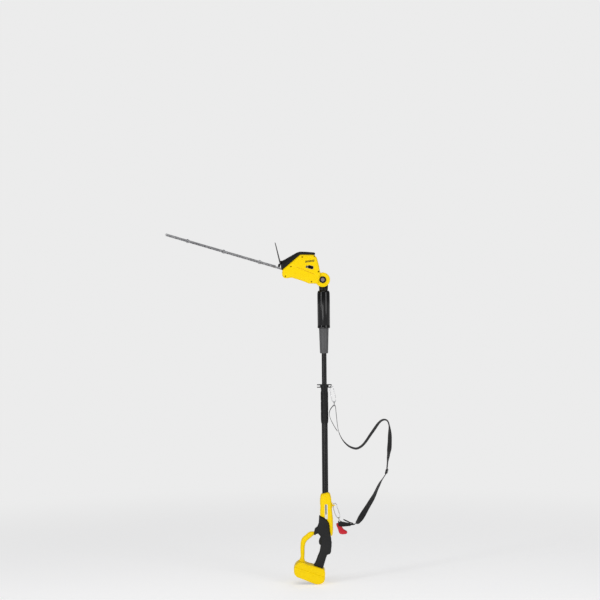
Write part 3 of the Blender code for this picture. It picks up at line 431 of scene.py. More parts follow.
def pillow(outline, s, relief=None):
    # both halves, joined on the middle plane
    bm = crowned(outline, s, 1, 0.0, relief)
    other = bmesh.ops.duplicate(bm, geom=bm.verts[:] + bm.edges[:] + bm.faces[:])["geom"]
    for vert in vertsOf(other):
        vert.co.y = -vert.co.y
    bmesh.ops.remove_doubles(bm, verts=bm.verts, dist=1e-6)
    return outward(bm)


def prism(outline, near, far):
    bm = bmesh.new()
    base = bm.faces.new([bm.verts.new((x, near, z)) for x, z in outline])
    grown = bmesh.ops.extrude_face_region(bm, geom=[base], use_keep_orig=True)["geom"]
    bmesh.ops.translate(bm, verts=vertsOf(grown), vec=(0, far - near, 0))
    return outward(bm)


def block(low, high, turn=Matrix.Identity(4)):
    bm = bmesh.new()
    bmesh.ops.create_cube(bm, size=1.0)
    for vert in bm.verts:
        vert.co = [low[k] + (high[k] - low[k]) * (vert.co[k] + 0.5) for k in range(3)]
    bm.transform(turn)
    return bm


def turned(profile, sides=96, axis="Z", centre=(0, 0, 0)):
    bm = bmesh.new()
    verts = [bm.verts.new((radius, 0, height)) for radius, height in profile]
    edges = [bm.edges.new(pair) for pair in zip(verts, verts[1:])]
    if profile[0][0] > 0:
        edges.append(bm.edges.new((verts[-1], verts[0])))
    bmesh.ops.spin(bm, geom=verts + edges, cent=(0, 0, 0), axis=(0, 0, 1), angle=math.tau, steps=sides,
                   use_merge=True)
    bmesh.ops.remove_doubles(bm, verts=bm.verts, dist=1e-7)
    outward(bm)
    if axis == "Y":
        bm.transform(Matrix.Rotation(-math.pi / 2, 4, "X"))
    return moved(bm, *centre)


def rod(radius, low, high, centre=(0, 0, 0), axis="Z", sides=48):
    return turned([(0, low), (radius, low), (radius, high), (0, high)], sides, axis, centre)


def temporary(bm):
    mesh = bpy.data.meshes.new("temporary")
    bm.to_mesh(mesh)
    bm.free()
    return linked("temporary", mesh)


def carved(bm, joined=(), taken=()):
    base = temporary(bm)
    helpers = []
    for kind, shapes in (("UNION", joined), ("DIFFERENCE", taken)):
        for shape in shapes:
            helper = temporary(shape)
            helpers.append(helper)
            step = base.modifiers.new(kind, "BOOLEAN")
            step.operation, step.solver, step.object = kind, "MANIFOLD", helper
    graph = bpy.context.evaluated_depsgraph_get()
    made = bmesh.new()
    made.from_mesh(base.evaluated_get(graph).to_mesh())
    for obj in [base] + helpers:
        bpy.data.objects.remove(obj)
    print("carved, open edges:", sum(not edge.is_manifold for edge in made.edges))
    return made


def softened(node, width, segments=2, limit=28.0):
    # a copy of a solid, merged, with its sharp edges rounded
    source = nodes[node]
    bm = bmesh.new()
    bm.from_mesh(source.data)
    bm.transform(source.matrix_world)
    bmesh.ops.remove_doubles(bm, verts=bm.verts, dist=2e-6)
    bmesh.ops.dissolve_limit(bm, angle_limit=math.radians(1.0), verts=bm.verts, edges=bm.edges)
    sharp = [edge for edge in bm.edges if edge.is_manifold and edge.calc_face_angle() > math.radians(limit)]
    if width:
        bmesh.ops.bevel(bm, geom=sharp, offset=width, offset_type="OFFSET", segments=segments, profile=0.6,
                        affect="EDGES", clamp_overlap=True)
    bmesh.ops.triangulate(bm, faces=[face for face in bm.faces if len(face.verts) > 4])
    return outward(bm)


bladeRise = math.radians(16.8)
bladeTurn = (Matrix.Translation((-0.169, 0, 1.104)) @ Matrix.Rotation(math.pi, 4, "Z")
             @ Matrix.Rotation(-bladeRise, 4, "Y"))
hinge = (-0.003, 0.0, 1.060)


def treeOf(name, **sockets):
    tree = bpy.data.node_groups.new(name, "GeometryNodeTree")
    for label, kind in {**sockets, "Material": "Material"}.items():
        tree.interface.new_socket(label, in_out="INPUT", socket_type="NodeSocket" + kind)
    tree.interface.new_socket("Geometry", in_out="OUTPUT", socket_type="NodeSocketGeometry")
    return tree, tree.nodes.new("NodeGroupInput").outputs


def copiesOn(tree, given, points, shape, turn):
    # the end of every tree: the shape on each point, made real and painted
    copies = add(tree, "GeometryNodeInstanceOnPoints", {"Points": points, "Instance": shape,
                                                        "Rotation": turn})
    real = add(tree, "GeometryNodeRealizeInstances", {0: copies.outputs["Instances"]})
    paint = add(tree, "GeometryNodeSetMaterial", {"Geometry": real.outputs[0], "Material": given["Material"]})
    add(tree, "NodeGroupOutput", {0: paint.outputs[0]})
    return tree


def rowTree():
    tree, given = treeOf("rowOfBars", Count="Int", Start="Vector", Step="Vector", Size="Vector",
                         Turn="Rotation")
    line = add(tree, "GeometryNodeMeshLine", {"Count": given["Count"], "Start Location": given["Start"],
                                              "Offset": given["Step"]})
    bar = add(tree, "GeometryNodeMeshCube", {"Size": given["Size"]})
    return copiesOn(tree, given, line.outputs[0], bar.outputs[0], given["Turn"])


def ringTree():
    tree, given = treeOf("ringOfRibs", Count="Int", Radius="Float", Height="Vector", Size="Vector")
    circle = add(tree, "GeometryNodeMeshCircle", {"Vertices": given["Count"], "Radius": given["Radius"]})
    raised = add(tree, "GeometryNodeSetPosition", {"Geometry": circle.outputs[0], "Offset": given["Height"]})
    rib = add(tree, "GeometryNodeMeshCube", {"Size": given["Size"]})
    where = add(tree, "GeometryNodeInputPosition").outputs[0]
    outward = add(tree, "ShaderNodeVectorMath", {0: where, 1: (1, 1, 0)}, operation="MULTIPLY")
    facing = add(tree, "FunctionNodeAlignRotationToVector", {"Vector": outward.outputs[0]}, axis="X")
    return copiesOn(tree, given, raised.outputs[0], rib.outputs[0], facing.outputs[0])


def screwTree():
    tree, given = treeOf("screwSet", Places="Geometry", Radius="Float", Depth="Float", Slot="Float",
                         Turn="Rotation")
    head = add(tree, "GeometryNodeMeshCylinder", {"Vertices": 28, "Radius": given["Radius"],
                                                  "Depth": given["Depth"]})
    hole = add(tree, "GeometryNodeMeshCylinder", {"Vertices": 6, "Radius": given["Slot"], "Depth": 1.0})
    screw = add(tree, "GeometryNodeMeshBoolean", {0: head.outputs[0], 1: hole.outputs[0]})
    return copiesOn(tree, given, given["Places"], screw.outputs[0], given["Turn"])


def stitchTree():
    tree, given = treeOf("stitchSet", Places="Geometry", Radius="Float", Length="Float")
    thread = add(tree, "GeometryNodeMeshCylinder", {"Vertices": 6, "Radius": given["Radius"],
                                                    "Depth": given["Length"]})
    along = add(tree, "GeometryNodeInputNamedAttribute", {"Name": "run"}, data_type="FLOAT_VECTOR")
    facing = add(tree, "FunctionNodeAlignRotationToVector", {"Vector": along.outputs[0]}, axis="Z")
    return copiesOn(tree, given, given["Places"], thread.outputs[0], facing.outputs[0])


def repeated(name, tree, values, finish, body, places=(), runs=(), bevel=0.0):
    mesh = bpy.data.meshes.new(name + "Places")
    mesh.from_pydata(list(places), [], [])
    if runs:  # which way each copy points
        layer = mesh.attributes.new("run", "FLOAT_VECTOR", "POINT")
        layer.data.foreach_set("vector", np.array(runs, np.float32).ravel())
    maker = linked(name + "Maker", mesh)
    step = maker.modifiers.new("repeat", "NODES")
    step.node_group = tree
    values = {**values, "Material": finish}
    for item in tree.interface.items_tree:
        if item.in_out == "INPUT" and item.name in values:
            step[item.identifier] = values[item.name]
    made = bpy.data.meshes.new_from_object(maker.evaluated_get(bpy.context.evaluated_depsgraph_get()))
    bpy.data.objects.remove(maker)
    bm = bmesh.new()
    bm.from_mesh(made)
    if bevel:
        bmesh.ops.bevel(bm, geom=bm.edges[:], offset=bevel, segments=2, profile=0.6, affect="EDGES",
                        clamp_overlap=True)
    print(name, len(bm.faces), "faces")
    return place(name, bm, finish, body)


barRow, ribRing, screwSet, stitchSet = rowTree(), ringTree(), screwTree(), stitchTree()

headSizes = {
    "half": 0.0365, "rim": 0.0095, "crown": 0.0010, "corner": 0.007, "step": 0.0017, "wall": 0.0028,
    "earRadius": 0.029, "earHalf": 0.027, "slotHalf": 0.012, "buttonHole": 0.0122,
    "stepDown": 0.0016,  # how far the lower part of the face lies back
    "groove": 0.0036, "grooveWide": 0.0026,
    "crease": ((-0.1070, 1.1116), (-0.0370, 1.0828)),
    "screws": mm([
        (-84.1, 1150.8), (-35.3, 1153.6), (-129.3, 1113.6), (-151.6, 1075.2), (-48, 1052.4),
        (-19.6, 1092.4),
    ]),
    "body": mm([
        (-162, 1102), (-92, 1161), (-36, 1160), (-26, 1149), (-18, 1118), (-14.5, 1099), (-10, 1080),
        (-22, 1044), (-44, 1045.5), (-58, 1045), (-70, 1051), (-92, 1059), (-128, 1070), (-145, 1067.5),
        (-156, 1068), (-163, 1074), (-165.5, 1085), (-164, 1096),
    ]),
    "room": mm([
        (-162, 1102), (-92, 1161), (-36, 1160), (-26, 1149), (-18, 1118), (-29, 1092), (-40, 1080),
        (-46, 1056), (-58, 1052), (-92, 1060), (-128, 1072), (-156, 1071), (-163, 1076), (-165.5, 1085),
        (-164, 1096),
    ]),
    "swing": mm([(-51, 1064), (5, 1064), (5, 1092), (30, 1092), (30, 1012), (-51, 1012)]),
}


def headRelief(x, z):
    (ax, az), (bx, bz) = headSizes["crease"]
    over = ((bx - ax) * (z - az) - (bz - az) * (x - ax)) / math.hypot(bx - ax, bz - az)
    share = np.clip(over / 0.0050 + 0.5, 0, 1)
    return -headSizes["stepDown"] * (1 - share * share * (3 - 2 * share))


def headShell(s, side):
    r, half = s["earRadius"], s["earHalf"]
    ear = turned([(radius, side * depth) for radius, depth in (
        (0, 0.0002), (r - 0.0003, 0.0002), (r, 0.0005), (r, 0.0240), (r - 0.0008, 0.0256), (r - 0.0025, half),
        (0.0240, 0.0271), (0.0210, 0.0262), (0.0165, 0.0258), (0, 0.0258))], 96, "Y", hinge)
    slot = s["slotHalf"]
    taken = [prism(shrunk(s["room"], s["wall"]), -side * 0.005, side * 0.0268),
             rod(r - 0.0005, -slot, slot, hinge, "Y"), prism(s["swing"], -slot - 0.0001, slot + 0.0001),
             rod(0.0045, -0.05, 0.05, hinge, "Y"),
             block((-0.060, -0.0195, -0.0032), (0.030, 0.0195, 0.0064), bladeTurn)]
    if side < 0:
        taken.append(rod(s["buttonHole"], -0.050, -0.016, hinge, "Y"))
    else:
        taken.append(rod(0.0084, 0.0233, 0.050, hinge, "Y"))
    for x, z in s["screws"]:
        low, high = sorted((side * (0.0290 if x < -0.03 else 0.0240), side * 0.05))
        taken.append(rod(0.0031, low, high, (x, 0, z), "Y", 24))
    (ax, az), (bx, bz) = s["crease"]
    across = Vector((az - bz, bx - ax)).normalized() * s["grooveWide"] / 2
    strip = [(ax - across.x, az - across.y), (bx - across.x, bz - across.y), (bx + across.x, bz + across.y),
             (ax + across.x, az + across.y)]
    taken.append(prism(strip, side * (s["half"] - s["groove"]), side * 0.05))
    return carved(crowned(s["body"], s, side, 0.00015, headRelief), [ear], taken)


for word, side in (("Front", -1), ("Rear", 1)):
    stand("headShell" + word, headShell(headSizes, side), "head_shell_" + word.lower())
print("head shells made")

capSizes = {
    "half": 0.0315, "rim": 0.0065, "crown": 0.0010, "corner": 0.005, "step": 0.0016,
    "outline": mm([
        (-165, 1098.5), (-160.8, 1100.6), (-91.2, 1159), (-36.2, 1157.8), (-31.5, 1163), (-34.5, 1169),
        (-68, 1172), (-93, 1173), (-105, 1169.5), (-153, 1142.5), (-165, 1136.8), (-173, 1137.5),
        (-170.5, 1126.5), (-170, 1118), (-168.8, 1110),
    ]),
    "vents": {"Count": 7, "Start": (-0.1120, 0.0, 1.1652), "Step": (-0.0052, 0.0, -0.00293),
              "Size": (0.0016, 0.0400, 0.0016), "Turn": (0, -0.513, 0)},
}
cap = carved(pillow(capSizes["outline"], capSizes), [],
             [block((-0.060, -0.0195, -0.0032), (0.030, 0.0195, 0.0095), bladeTurn)])
stand("headCap", cap, "head_cap")
repeated("capRibs", barRow, capSizes["vents"], blackShell, "head", bevel=0.0004)

badgeSizes = {
    "half": 0.00045, "rim": 0.00040, "crown": 0.00005, "corner": 0.0055, "step": 0.0010,
    "centre": (-0.0510, 1.1100), "lean": math.radians(-15), "long": 0.0215, "wide": 0.0120, "face": -0.0366,
}


def pill(s, grow):
    across, up = s["long"] / 2 + grow, s["wide"] / 2 + grow
    corners = [(-across, -up), (across, -up), (across, up), (-across, up)]
    turn = Matrix.Rotation(s["lean"], 2)
    return [tuple(Vector(s["centre"]) + turn @ Vector(c)) for c in corners]


spotSizes = {**badgeSizes, "centre": (-0.0665, 1.1120), "long": 0.0075, "wide": 0.0100, "corner": 0.004}
for name, s, grow, lift, finish in (("badgeRim", badgeSizes, 0.0009, 0.0, buttonFinish),
                                    ("badgeFace", badgeSizes, 0.0, -0.0004, glossBlack),
                                    ("badgeSpot", spotSizes, 0.0, 0.0, greyShell)):
    place(name, moved(pillow(pill(s, grow), s), 0, s["face"] + lift, 0), finish, "head")
repeated("plainRelief", barRow, {"Count": 9, "Start": (-0.0705, -0.0365, 1.1325), "Step": (0.0041, 0, 0.0004),
                                 "Size": (0.0022, 0.0008, 0.0085), "Turn": (0, 0.30, 0)}, blackShell, "head",
         bevel=0.0003)
frontScrews = [(x, -0.0275 if x < -0.03 else -0.0225, z) for x, z in headSizes["screws"]]
rearScrews = [(x, -y, z) for x, y, z in frontScrews]
screwSizes = {"Radius": 0.0029, "Depth": 0.0030, "Slot": 0.0013, "Turn": (math.pi / 2, 0, 0)}
repeated("headScrews", screwSet, screwSizes, screwFinish, "head", frontScrews + rearScrews)
bezel = turned(mm([
    (7.9, -27), (7.9, -28.2), (8.4, -28.6), (12.6, -28.4), (13.4, -27.8), (13.7, -25.7), (12.5, -25.7),
    (12.2, -27),
]), 96, "Y", hinge)
place("buttonBezel", bezel, blackShell, "head")
button = turned(mm([
    (0, -29.1), (4, -29.2), (6.6, -29), (7.4, -28.3), (7.5, -26.6), (11.2, -26.4), (11.4, -26),
    (11.4, -20.5), (9.4, -20.5), (9.4, -23.2), (0, -23.2),
]), 96, "Y", hinge)
stand("tiltButton", button, "release_button")

guardSizes = {"foot": (-0.1762, 0.0, 1.1270), "up": (-0.0190, 0.0, 0.0850), "half": 0.044, "thick": 0.0050,
              "cells": 36}


def guardPlate(s):
    bm = bmesh.new()
    bmesh.ops.create_grid(bm, x_segments=s["cells"], y_segments=s["cells"], size=1.0)
    for vert in bm.verts:
        height, across = (vert.co.x + 1) / 2, vert.co.y
        half = s["half"] - 0.010 * height ** 3
        drop = 0.06 * across ** 4
        back = 0.0048 * across ** 2 * (1 - 0.5 * height)
        vert.co = (Vector(s["foot"]) + Vector(s["up"]) * height * (1 - drop)
                   + Vector((back - s["thick"] / 2, across * half, 0)))
    bmesh.ops.solidify(bm, geom=bm.faces[:], thickness=s["thick"])
    bmesh.ops.recalc_face_normals(bm, faces=bm.faces)
    edges = [edge for edge in bm.edges if edge.calc_face_angle(0) > math.radians(60)]
    bmesh.ops.bevel(bm, geom=edges, offset=0.0010, segments=3, profile=0.5, affect="EDGES",
                    clamp_overlap=True)
    return bm


guard = guardPlate(guardSizes)
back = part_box("blade_guard")[1].x - max(vert.co.x for vert in guard.verts)
stand("bladeGuard", moved(guard, back, 0, 0), "blade_guard")
for name, node, width in (("BladeClamp", "blade_clamp", 0.0010), ("BladeBar", "blade_bar", 0.0004),
                          ("toothedUpper", "upper_blade", 0.0004), ("toothedLower", "lower_blade", 0.0004)):
    stand(name, softened(node, width), node)
boltSizes = {"first": 0.090, "spacing": 0.150, "count": 3, "socket": 0.0021}
for i in range(boltSizes["count"]):
    x = boltSizes["first"] + boltSizes["spacing"] * i
    bolt = turned(mm([
        (0, -4.6), (4.4, -4.6), (5, -4.3), (5.6, -3.6), (5.6, -2.5), (2.6, -2.5), (2.6, 8.3), (4.4, 8.3),
        (4.7, 8.6), (4.7, 10.4), (4.2, 10.9), (0, 10.9),
    ]), 40, "Z", (x, 0, 0))
    bolt = carved(bolt, [], [rod(boltSizes["socket"], -0.010, -0.0030, (x, 0, 0), "Z", 6)])
    bolt.transform(bladeTurn)
    stand(f"bladeBolt{i + 1}", bolt, f"blade_bolt_{i + 1}")
print("head finished")

tubes = [  # name, node, radius, wall, foot, top
    ("innerTube", "inner_tube", 0.0098, 0.0010, 0.118, 0.890),
    ("middleTube", "middle_tube", 0.0109, 0.0008, 0.092, 0.634),
    ("outerTube", "outer_tube", 0.0122, 0.0010, 0.075, 0.603),
]
ribSizes = {"count": 36, "radius": 0.01455, "wide": 0.0011, "thick": 0.0008}


def pipe(radius, wall, low, high):
    edge, bore = 0.0003, radius - wall
    return turned([(bore + edge, low), (radius - edge, low), (radius, low + edge), (radius, high - edge),
                   (radius - edge, high), (bore + edge, high), (bore, high - edge), (bore, low + edge)], 96)


# each profile is radius and height
sleeve = mm([
    (17.5, 1017.2), (17.8, 1017.5), (19.5, 1017.3), (21.4, 1015.8), (23, 1013.2), (24.2, 1009.5),
    (24.9, 1004), (25, 990), (25, 879), (24.6, 878.2), (24.6, 877.2), (25, 876.4), (25, 869), (24.6, 867.2),
    (24, 866.5), (20.2, 866.5), (20.2, 1006), (17.5, 1008.5),
])
stand("couplingSleeve", turned(sleeve), "coupling_sleeve")
socket = mm([
    (10.1, 766.4), (10.6, 766), (15.2, 766), (15.7, 766.4), (16.3, 769), (16.6, 776), (16.2, 776.6),
    (16.2, 777.6), (16.7, 778.2), (19, 857), (19.3, 864), (19.6, 868), (19.6, 990), (16.4, 990), (16.4, 894),
    (10.1, 894),
])
stand("poleSocket", turned(socket), "pole_socket")
stand("hingeNeck", softened("hinge_knuckle", 0.0007), "hinge_knuckle")
for name, node, radius, wall, low, high in tubes:
    stand(name, pipe(radius, wall, low, high), node)
clampBody = mm([
    (12.6, 486.3), (12.9, 486), (13.3, 486.3), (14.6, 495.5), (14.7, 496), (14.7, 498.5), (13.4, 498.5),
    (13.4, 615), (14, 617), (14, 641.5), (13.5, 642), (12.6, 642), (12.6, 634), (11.2, 634), (11.2, 604),
    (12.6, 604),
])
stand("clampBody", turned(clampBody), "clamp_body")
nut = mm([
    (13.8, 499), (14.1, 499), (14.6, 499.4), (14.6, 534), (14.2, 534.6), (14.2, 535.4), (14.6, 536),
    (14.6, 574), (14.2, 574.6), (14.2, 575.4), (14.6, 576), (14.6, 611), (14.4, 613.2), (14, 614.2),
    (13.8, 614.2),
])
stand("clampNut", turned(nut), "clamp_nut")
for name, low, high in (("nutRibsLow", 0.5010, 0.5325), ("nutRibsMiddle", 0.5375, 0.5725),
                        ("nutRibsHigh", 0.5775, 0.6095)):
    repeated(name, ribRing, {"Count": ribSizes["count"], "Radius": ribSizes["radius"],
                             "Height": (0, 0, (low + high) / 2),
                             "Size": (ribSizes["thick"], ribSizes["wide"], high - low)},
             blackShell, "clamp_nut", bevel=0.0002)
stand("strapHanger", softened("strap_hanger", 0.0006), "strap_hanger")
stand("tubeMouth", softened("middle_ferrule", 0.0003), "middle_ferrule")
print("pole made")


strap = {
    "width": 0.030,
    "thick": 0.0016,
    "steps": 6,
    "route": mm([
        (39.7, 557.8), (42.8, 556.2), (44.3, 550), (46.4, 525), (48.8, 500), (51.4, 476), (56.6, 450),
        (66.5, 427), (80, 408), (100, 391.5), (126, 384), (148, 394.5), (164, 412), (180, 435), (200, 463),
        (215, 484), (229, 496), (242, 498.5), (252, 492.5), (257.5, 478), (259.8, 455), (260, 420),
        (258, 385), (254, 355), (250, 325), (247.5, 300), (244, 284), (234, 268), (222, 250), (209, 225),
        (195, 195), (178, 166), (160, 137), (143, 109), (130, 90.5), (116, 81.5), (100.4, 80),
    ]),
    "turn": {
        0: 0, 6: 0, 10: 9, 14: 14, 16: 8, 17: 6, 19: 10, 21: 34, 22: 38, 23: 24, 24: 12, 27: 10, 29: 24,
        31: 42, 33: 56, 34: 40, 35: 2, 36: 0,
    },
    "upperFold": mm([
        (38.2, 557.5), (34.5, 556), (29.5, 550), (22.5, 540), (19, 526), (21.5, 509), (30, 490),
        (40.5, 470), (50.5, 454.5),
    ]),
    "lowerFold": mm([(111, 84.3), (101, 86.8), (90, 92), (72, 100.5)]),
}


def smoothRun(points, steps):
    made = []
    last = len(points) - 1
    for i in range(last):
        a, b, c, d = (Vector(points[min(max(i + k, 0), last)]) for k in (-1, 0, 1, 2))
        for k in range(steps):
            t = k / steps
            made.append(0.5 * (2 * b + (c - a) * t + (2 * a - 5 * b + 4 * c - d) * t ** 2
                               + (3 * b - a - 3 * c + d) * t ** 3))
    return made + [Vector(points[-1])]


def turnAt(step, turns):
    before = max(key for key in turns if key <= step)
    after = min((key for key in turns if key > step), default=before)
    share = (step - before) / (after - before) if after > before else 0.0
    share = share * share * (3 - 2 * share)
    return math.radians(turns[before] * (1 - share) + turns[after] * share)


def ribbonFrames(route, steps, turns=None):
    points = smoothRun([(x, 0.0, z) for x, z in route], steps)
    frames, run = [], 0.0
    for i, point in enumerate(points):
        ahead = (points[min(i + 1, len(points) - 1)] - points[max(i - 1, 0)]).normalized()
        face = ahead.cross(Vector((0, 1, 0)))
        turn = turnAt(i / steps, turns) if turns else 0.0
        wide = Vector((0, 1, 0)) * math.cos(turn) + face * math.sin(turn)
        frames.append((point, wide, ahead.cross(wide), run))
        if i + 1 < len(points):
            run += (points[i + 1] - point).length
    return frames


def ribbon(route, s, turns=None):
    across = [(-1.0, 0.55), (-0.985, 1.0), (-0.90, 1.0), (-0.86, 0.86), (-0.4, 0.90), (0.0, 0.92),
              (0.4, 0.90), (0.86, 0.86), (0.90, 1.0), (0.985, 1.0), (1.0, 0.55)]
    section = [(u, h) for u, h in across] + [(u, -h) for u, h in reversed(across)]
    bm = bmesh.new()
    layer = bm.loops.layers.uv.new("UVMap")
    last, lastRun = None, 0.0
    for point, wide, face, run in ribbonFrames(route, s["steps"], turns):
        ring = [bm.verts.new(point + wide * u * s["width"] / 2 + face * h * s["thick"] / 2)
                for u, h in section]
        if last is None:
            bm.faces.new(ring)
        else:
            for k in range(len(ring)):
                n = (k + 1) % len(ring)
                face4 = bm.faces.new((last[k], last[n], ring[n], ring[k]))
                for loop, (u, v) in zip(face4.loops, ((section[k][0], lastRun), (section[n][0], lastRun),
                                                      (section[n][0], run), (section[k][0], run))):
                    loop[layer].uv = (u * s["width"] / 2, v)
        last, lastRun = ring, run
    bm.faces.new(last)
    return outward(bm)


mainFrames = ribbonFrames(strap["route"], strap["steps"], strap["turn"])
webbing = stand("strapWebbing", ribbon(strap["route"], strap, strap["turn"]), "strap_webbing")
stand("strapFoldUpper", ribbon(strap["upperFold"], strap), "strap_fold_upper")
stand("strapFoldLower", ribbon(strap["lowerFold"], strap), "strap_fold_lower")
strapLength = mainFrames[-1][3]
print("strap length", round(strapLength, 4))


handleSizes = {
    "housing": {"half": 0.0228, "rim": 0.0085, "crown": 0.0012, "corner": 0.004, "step": 0.0016},
    "core": {"half": 0.0098, "rim": 0.0020, "crown": 0.0, "corner": 0.003, "step": 0.0025},
    "foot": {"half": 0.0370, "rim": 0.0052, "crown": 0.0003, "corner": 0.007, "step": 0.0017},
    "loop": {"half": 0.0088, "rim": 0.0080, "crown": 0.0, "corner": 0.006, "step": 0.0013},
    "cover": {"half": 0.0192, "rim": 0.0080, "crown": 0.0008, "corner": 0.003, "step": 0.0015},
    "seam": mm([
        (-21.5, 118), (-6.7, 111), (3.5, 104.8), (8.7, 96.8), (13.5, 88.5), (16, 77), (17, 60), (20.5, 38),
    ]),
    "top": mm([
        (-21.5, 134), (-20, 151), (-21.5, 164), (-21.5, 179), (-19.5, 196), (-16, 204.5), (8.5, 211.5),
        (19, 206), (23.5, 188), (24.8, 165), (27.5, 126), (29.7, 105), (29.7, 60), (28, 43), (24, 36.5),
    ]),
    "coreOutline": mm([
        (-19, 126), (18, 120), (19.5, 45), (10, 38), (7.2, 33), (5.5, -34), (-3, -56), (-14, -98),
        (-50, -96), (-37.5, -67), (-29.5, -46), (-21.5, -26), (-18, -8), (-18, 42), (-20.5, 75),
    ]),
    "coverRest": mm([
        (20.8, 34.5), (21.2, 0), (20, -30), (16, -35.5), (5.5, -38.5), (-0.5, -55), (-12.7, -96),
        (-50.5, -83), (-40.5, -66), (-32.5, -45), (-24.5, -26), (-21.2, -8), (-21.2, 36), (-30, 46.5),
        (-38.5, 44.5), (-43, 39), (-47.8, 45), (-45, 56), (-42.5, 66), (-33, 72.5), (-27.5, 86),
        (-25.3, 116.5),
    ]),
    "footOutline": mm([
        (-121.5, -74), (-106, -62.5), (-84, -68), (-70, -75.5), (-53, -79), (-12, -92.5), (-6, -96),
        (-3.5, -105), (-4.5, -135), (-12, -147), (-29, -153), (-47, -150.5), (-85, -134.5), (-119, -121.5),
        (-127.5, -108), (-128.5, -90),
    ]),
    "loopOutline": mm([
        (-114, -78), (-107.5, -61), (-100.5, -48), (-101.5, -10), (-100, 12), (-96, 26), (-88, 35),
        (-80, 40), (-70, 50), (-60, 54), (-50, 54), (-42, 54), (-41, 43), (-49.5, 38.5), (-60, 29),
        (-71, 21), (-80, 10), (-84.5, -8), (-84.5, -31), (-86, -55), (-82, -68), (-70, -85),
    ]),
    "bay": mm([
        (-41, -20), (42, -20), (42, 22), (50, 26), (48, 48), (-28, 52), (-45, 41), (-48, 26), (-41, 22),
    ]),
    "footBase": (-0.074, -0.1372), "footLean": math.radians(19.3),
    "lid": 0.0350, "lidBack": 0.0034,  # the crease between the foot's lid and its skirt
    "screws": mm([(-16.5, 186), (18.5, 170), (23.5, 70), (-116, -96), (-16, -110)]),
}


def footSpot(s, u, v):
    lean = s["footLean"]
    return (s["footBase"][0] + u * math.cos(lean) + v * math.sin(lean),
            s["footBase"][1] - u * math.sin(lean) + v * math.cos(lean))


def footRelief(x, z):
    s = handleSizes
    up = (x - s["footBase"][0]) * math.sin(s["footLean"]) + (z - s["footBase"][1]) * math.cos(s["footLean"])
    share = np.clip((up - s["lid"]) / 0.0020 + 0.5, 0, 1)
    return -s["lidBack"] * share * share * (3 - 2 * share) - 0.0055 * np.clip((up - 0.044) / 0.022, 0, 1) ** 2


def handleRooms(side):
    s = handleSizes
    return [
        rod(0.0125, 0.0745, 0.230), rod(0.0060, 0.020, 0.080, sides=24),
        block((-0.0400, -0.0088, -0.0045), (-0.0030, 0.0088, 0.0375)),
        block((-0.0035, -0.0100, -0.0250), (0.0062, 0.0100, 0.0400)),
        block((0.0090, -0.0123, -0.0350), (0.0400, 0.0123, 0.0352)),
        prism(mm([(-8, -20), (2, -20), (-20, -100), (-38, -100)]), -0.006, 0.006),
        prism([footSpot(s, u, v) for u, v in s["bay"]], -side * 0.005, side * 0.031),
    ]


def handleShell(s, side):
    housing = crowned(s["top"] + s["seam"][::-1], s["housing"], side)
    core = crowned(s["coreOutline"], s["core"], side)
    foot = crowned(s["footOutline"], s["foot"], side, 0.00015, footRelief)
    loop = crowned(s["loopOutline"], s["loop"], side)
    taken = handleRooms(side)
    for x, z in s["screws"] if side > 0 else ():
        taken.append(rod(0.0030, 0.0165 if z > 0 else 0.0300, 0.05, (x, 0, z), "Y", 24))
    return carved(housing, [core, foot, loop], taken)


def gripCover(s, side):
    outline = [(x - 0.0004, z - 0.0004) for x, z in s["seam"]] + s["coverRest"]
    core = prism(shrunk(s["coreOutline"], -0.0004), -side * 0.005, side * (s["core"]["half"] + 0.0004))
    rooms = handleRooms(side)
    return carved(crowned(outline, s["cover"], side), [], [core, rooms[2], rooms[4]])


for word, side in (("Front", -1), ("Rear", 1)):
    stand("handleShell" + word, handleShell(handleSizes, side), "handle_shell_" + word.lower())
    stand("gripCover" + word, gripCover(handleSizes, side), "grip_cover_" + word.lower(), gripFinish)
handleScrews = [(x, 0.0180 if z > 0 else 0.0315, z) for x, z in handleSizes["screws"]]
repeated("handleScrews", screwSet, {**screwSizes, "Radius": 0.0028}, screwFinish, "pole", handleScrews)
eyeletFoot = block((0.0236, -0.0076, 0.1484), (0.0280, 0.0076, 0.1676))
stand("eyelet", carved(softened("handle_eyelet", 0.0005), [eyeletFoot]), "handle_eyelet")

triggerSizes = {"half": 0.0084, "rim": 0.0038, "crown": 0.0004, "corner": 0.003, "step": 0.0009}
trigger = pillow(mm([
    (-15, 35), (-21.5, 32), (-26.5, 20), (-28, 12), (-25.5, 3), (-20.5, -1), (-13, -2), (-9, 10), (-9, 33),
]), triggerSizes)
stand("fingerTrigger", trigger, "trigger")
leverSizes = {"half": 0.0118, "rim": 0.0030, "crown": 0.0003, "corner": 0.002, "step": 0.0010}
lever = pillow(mm([
    (13.2, 29), (15, 33.5), (19, 33.8), (22.2, 30), (23.2, 10), (23, -8), (20.8, -29), (18.5, -32.5),
    (15, -33.5), (14.8, 15),
]), leverSizes)
stand("thumbLever", lever, "lock_lever")
repeated("leverRibs", barRow, {"Count": 7, "Start": (0.0225, 0.0, -0.0060), "Step": (0.0001, 0, 0.0030),
                               "Size": (0.0022, 0.0170, 0.0011), "Turn": (0, 0.05, 0)}, softBlack,
         "lock_lever", bevel=0.0003)
inlaySizes = {"half": 0.0006, "rim": 0.0005, "crown": 0.0, "corner": 0.0045, "step": 0.0015, "face": -0.0222}
for name, outline, lift, finish in (
    ("inlayPlate", mm([(-3, 108), (8.5, 104), (8.5, 164), (-3, 166.5)]), 0.0, paleFinish),
    ("inlayBar", mm([(-0.2, 124), (3.6, 124), (3.6, 164), (-0.2, 164)]), -0.0005, glossBlack),
):
    for side in (1, -1):
        plate = pillow(outline, inlaySizes if name == "inlayPlate" else {**inlaySizes, "corner": 0.0015})
        moved(plate, 0, side * (inlaySizes["face"] + lift), 0)
        place(name + ("Front" if side > 0 else "Rear"), plate, finish, "pole")
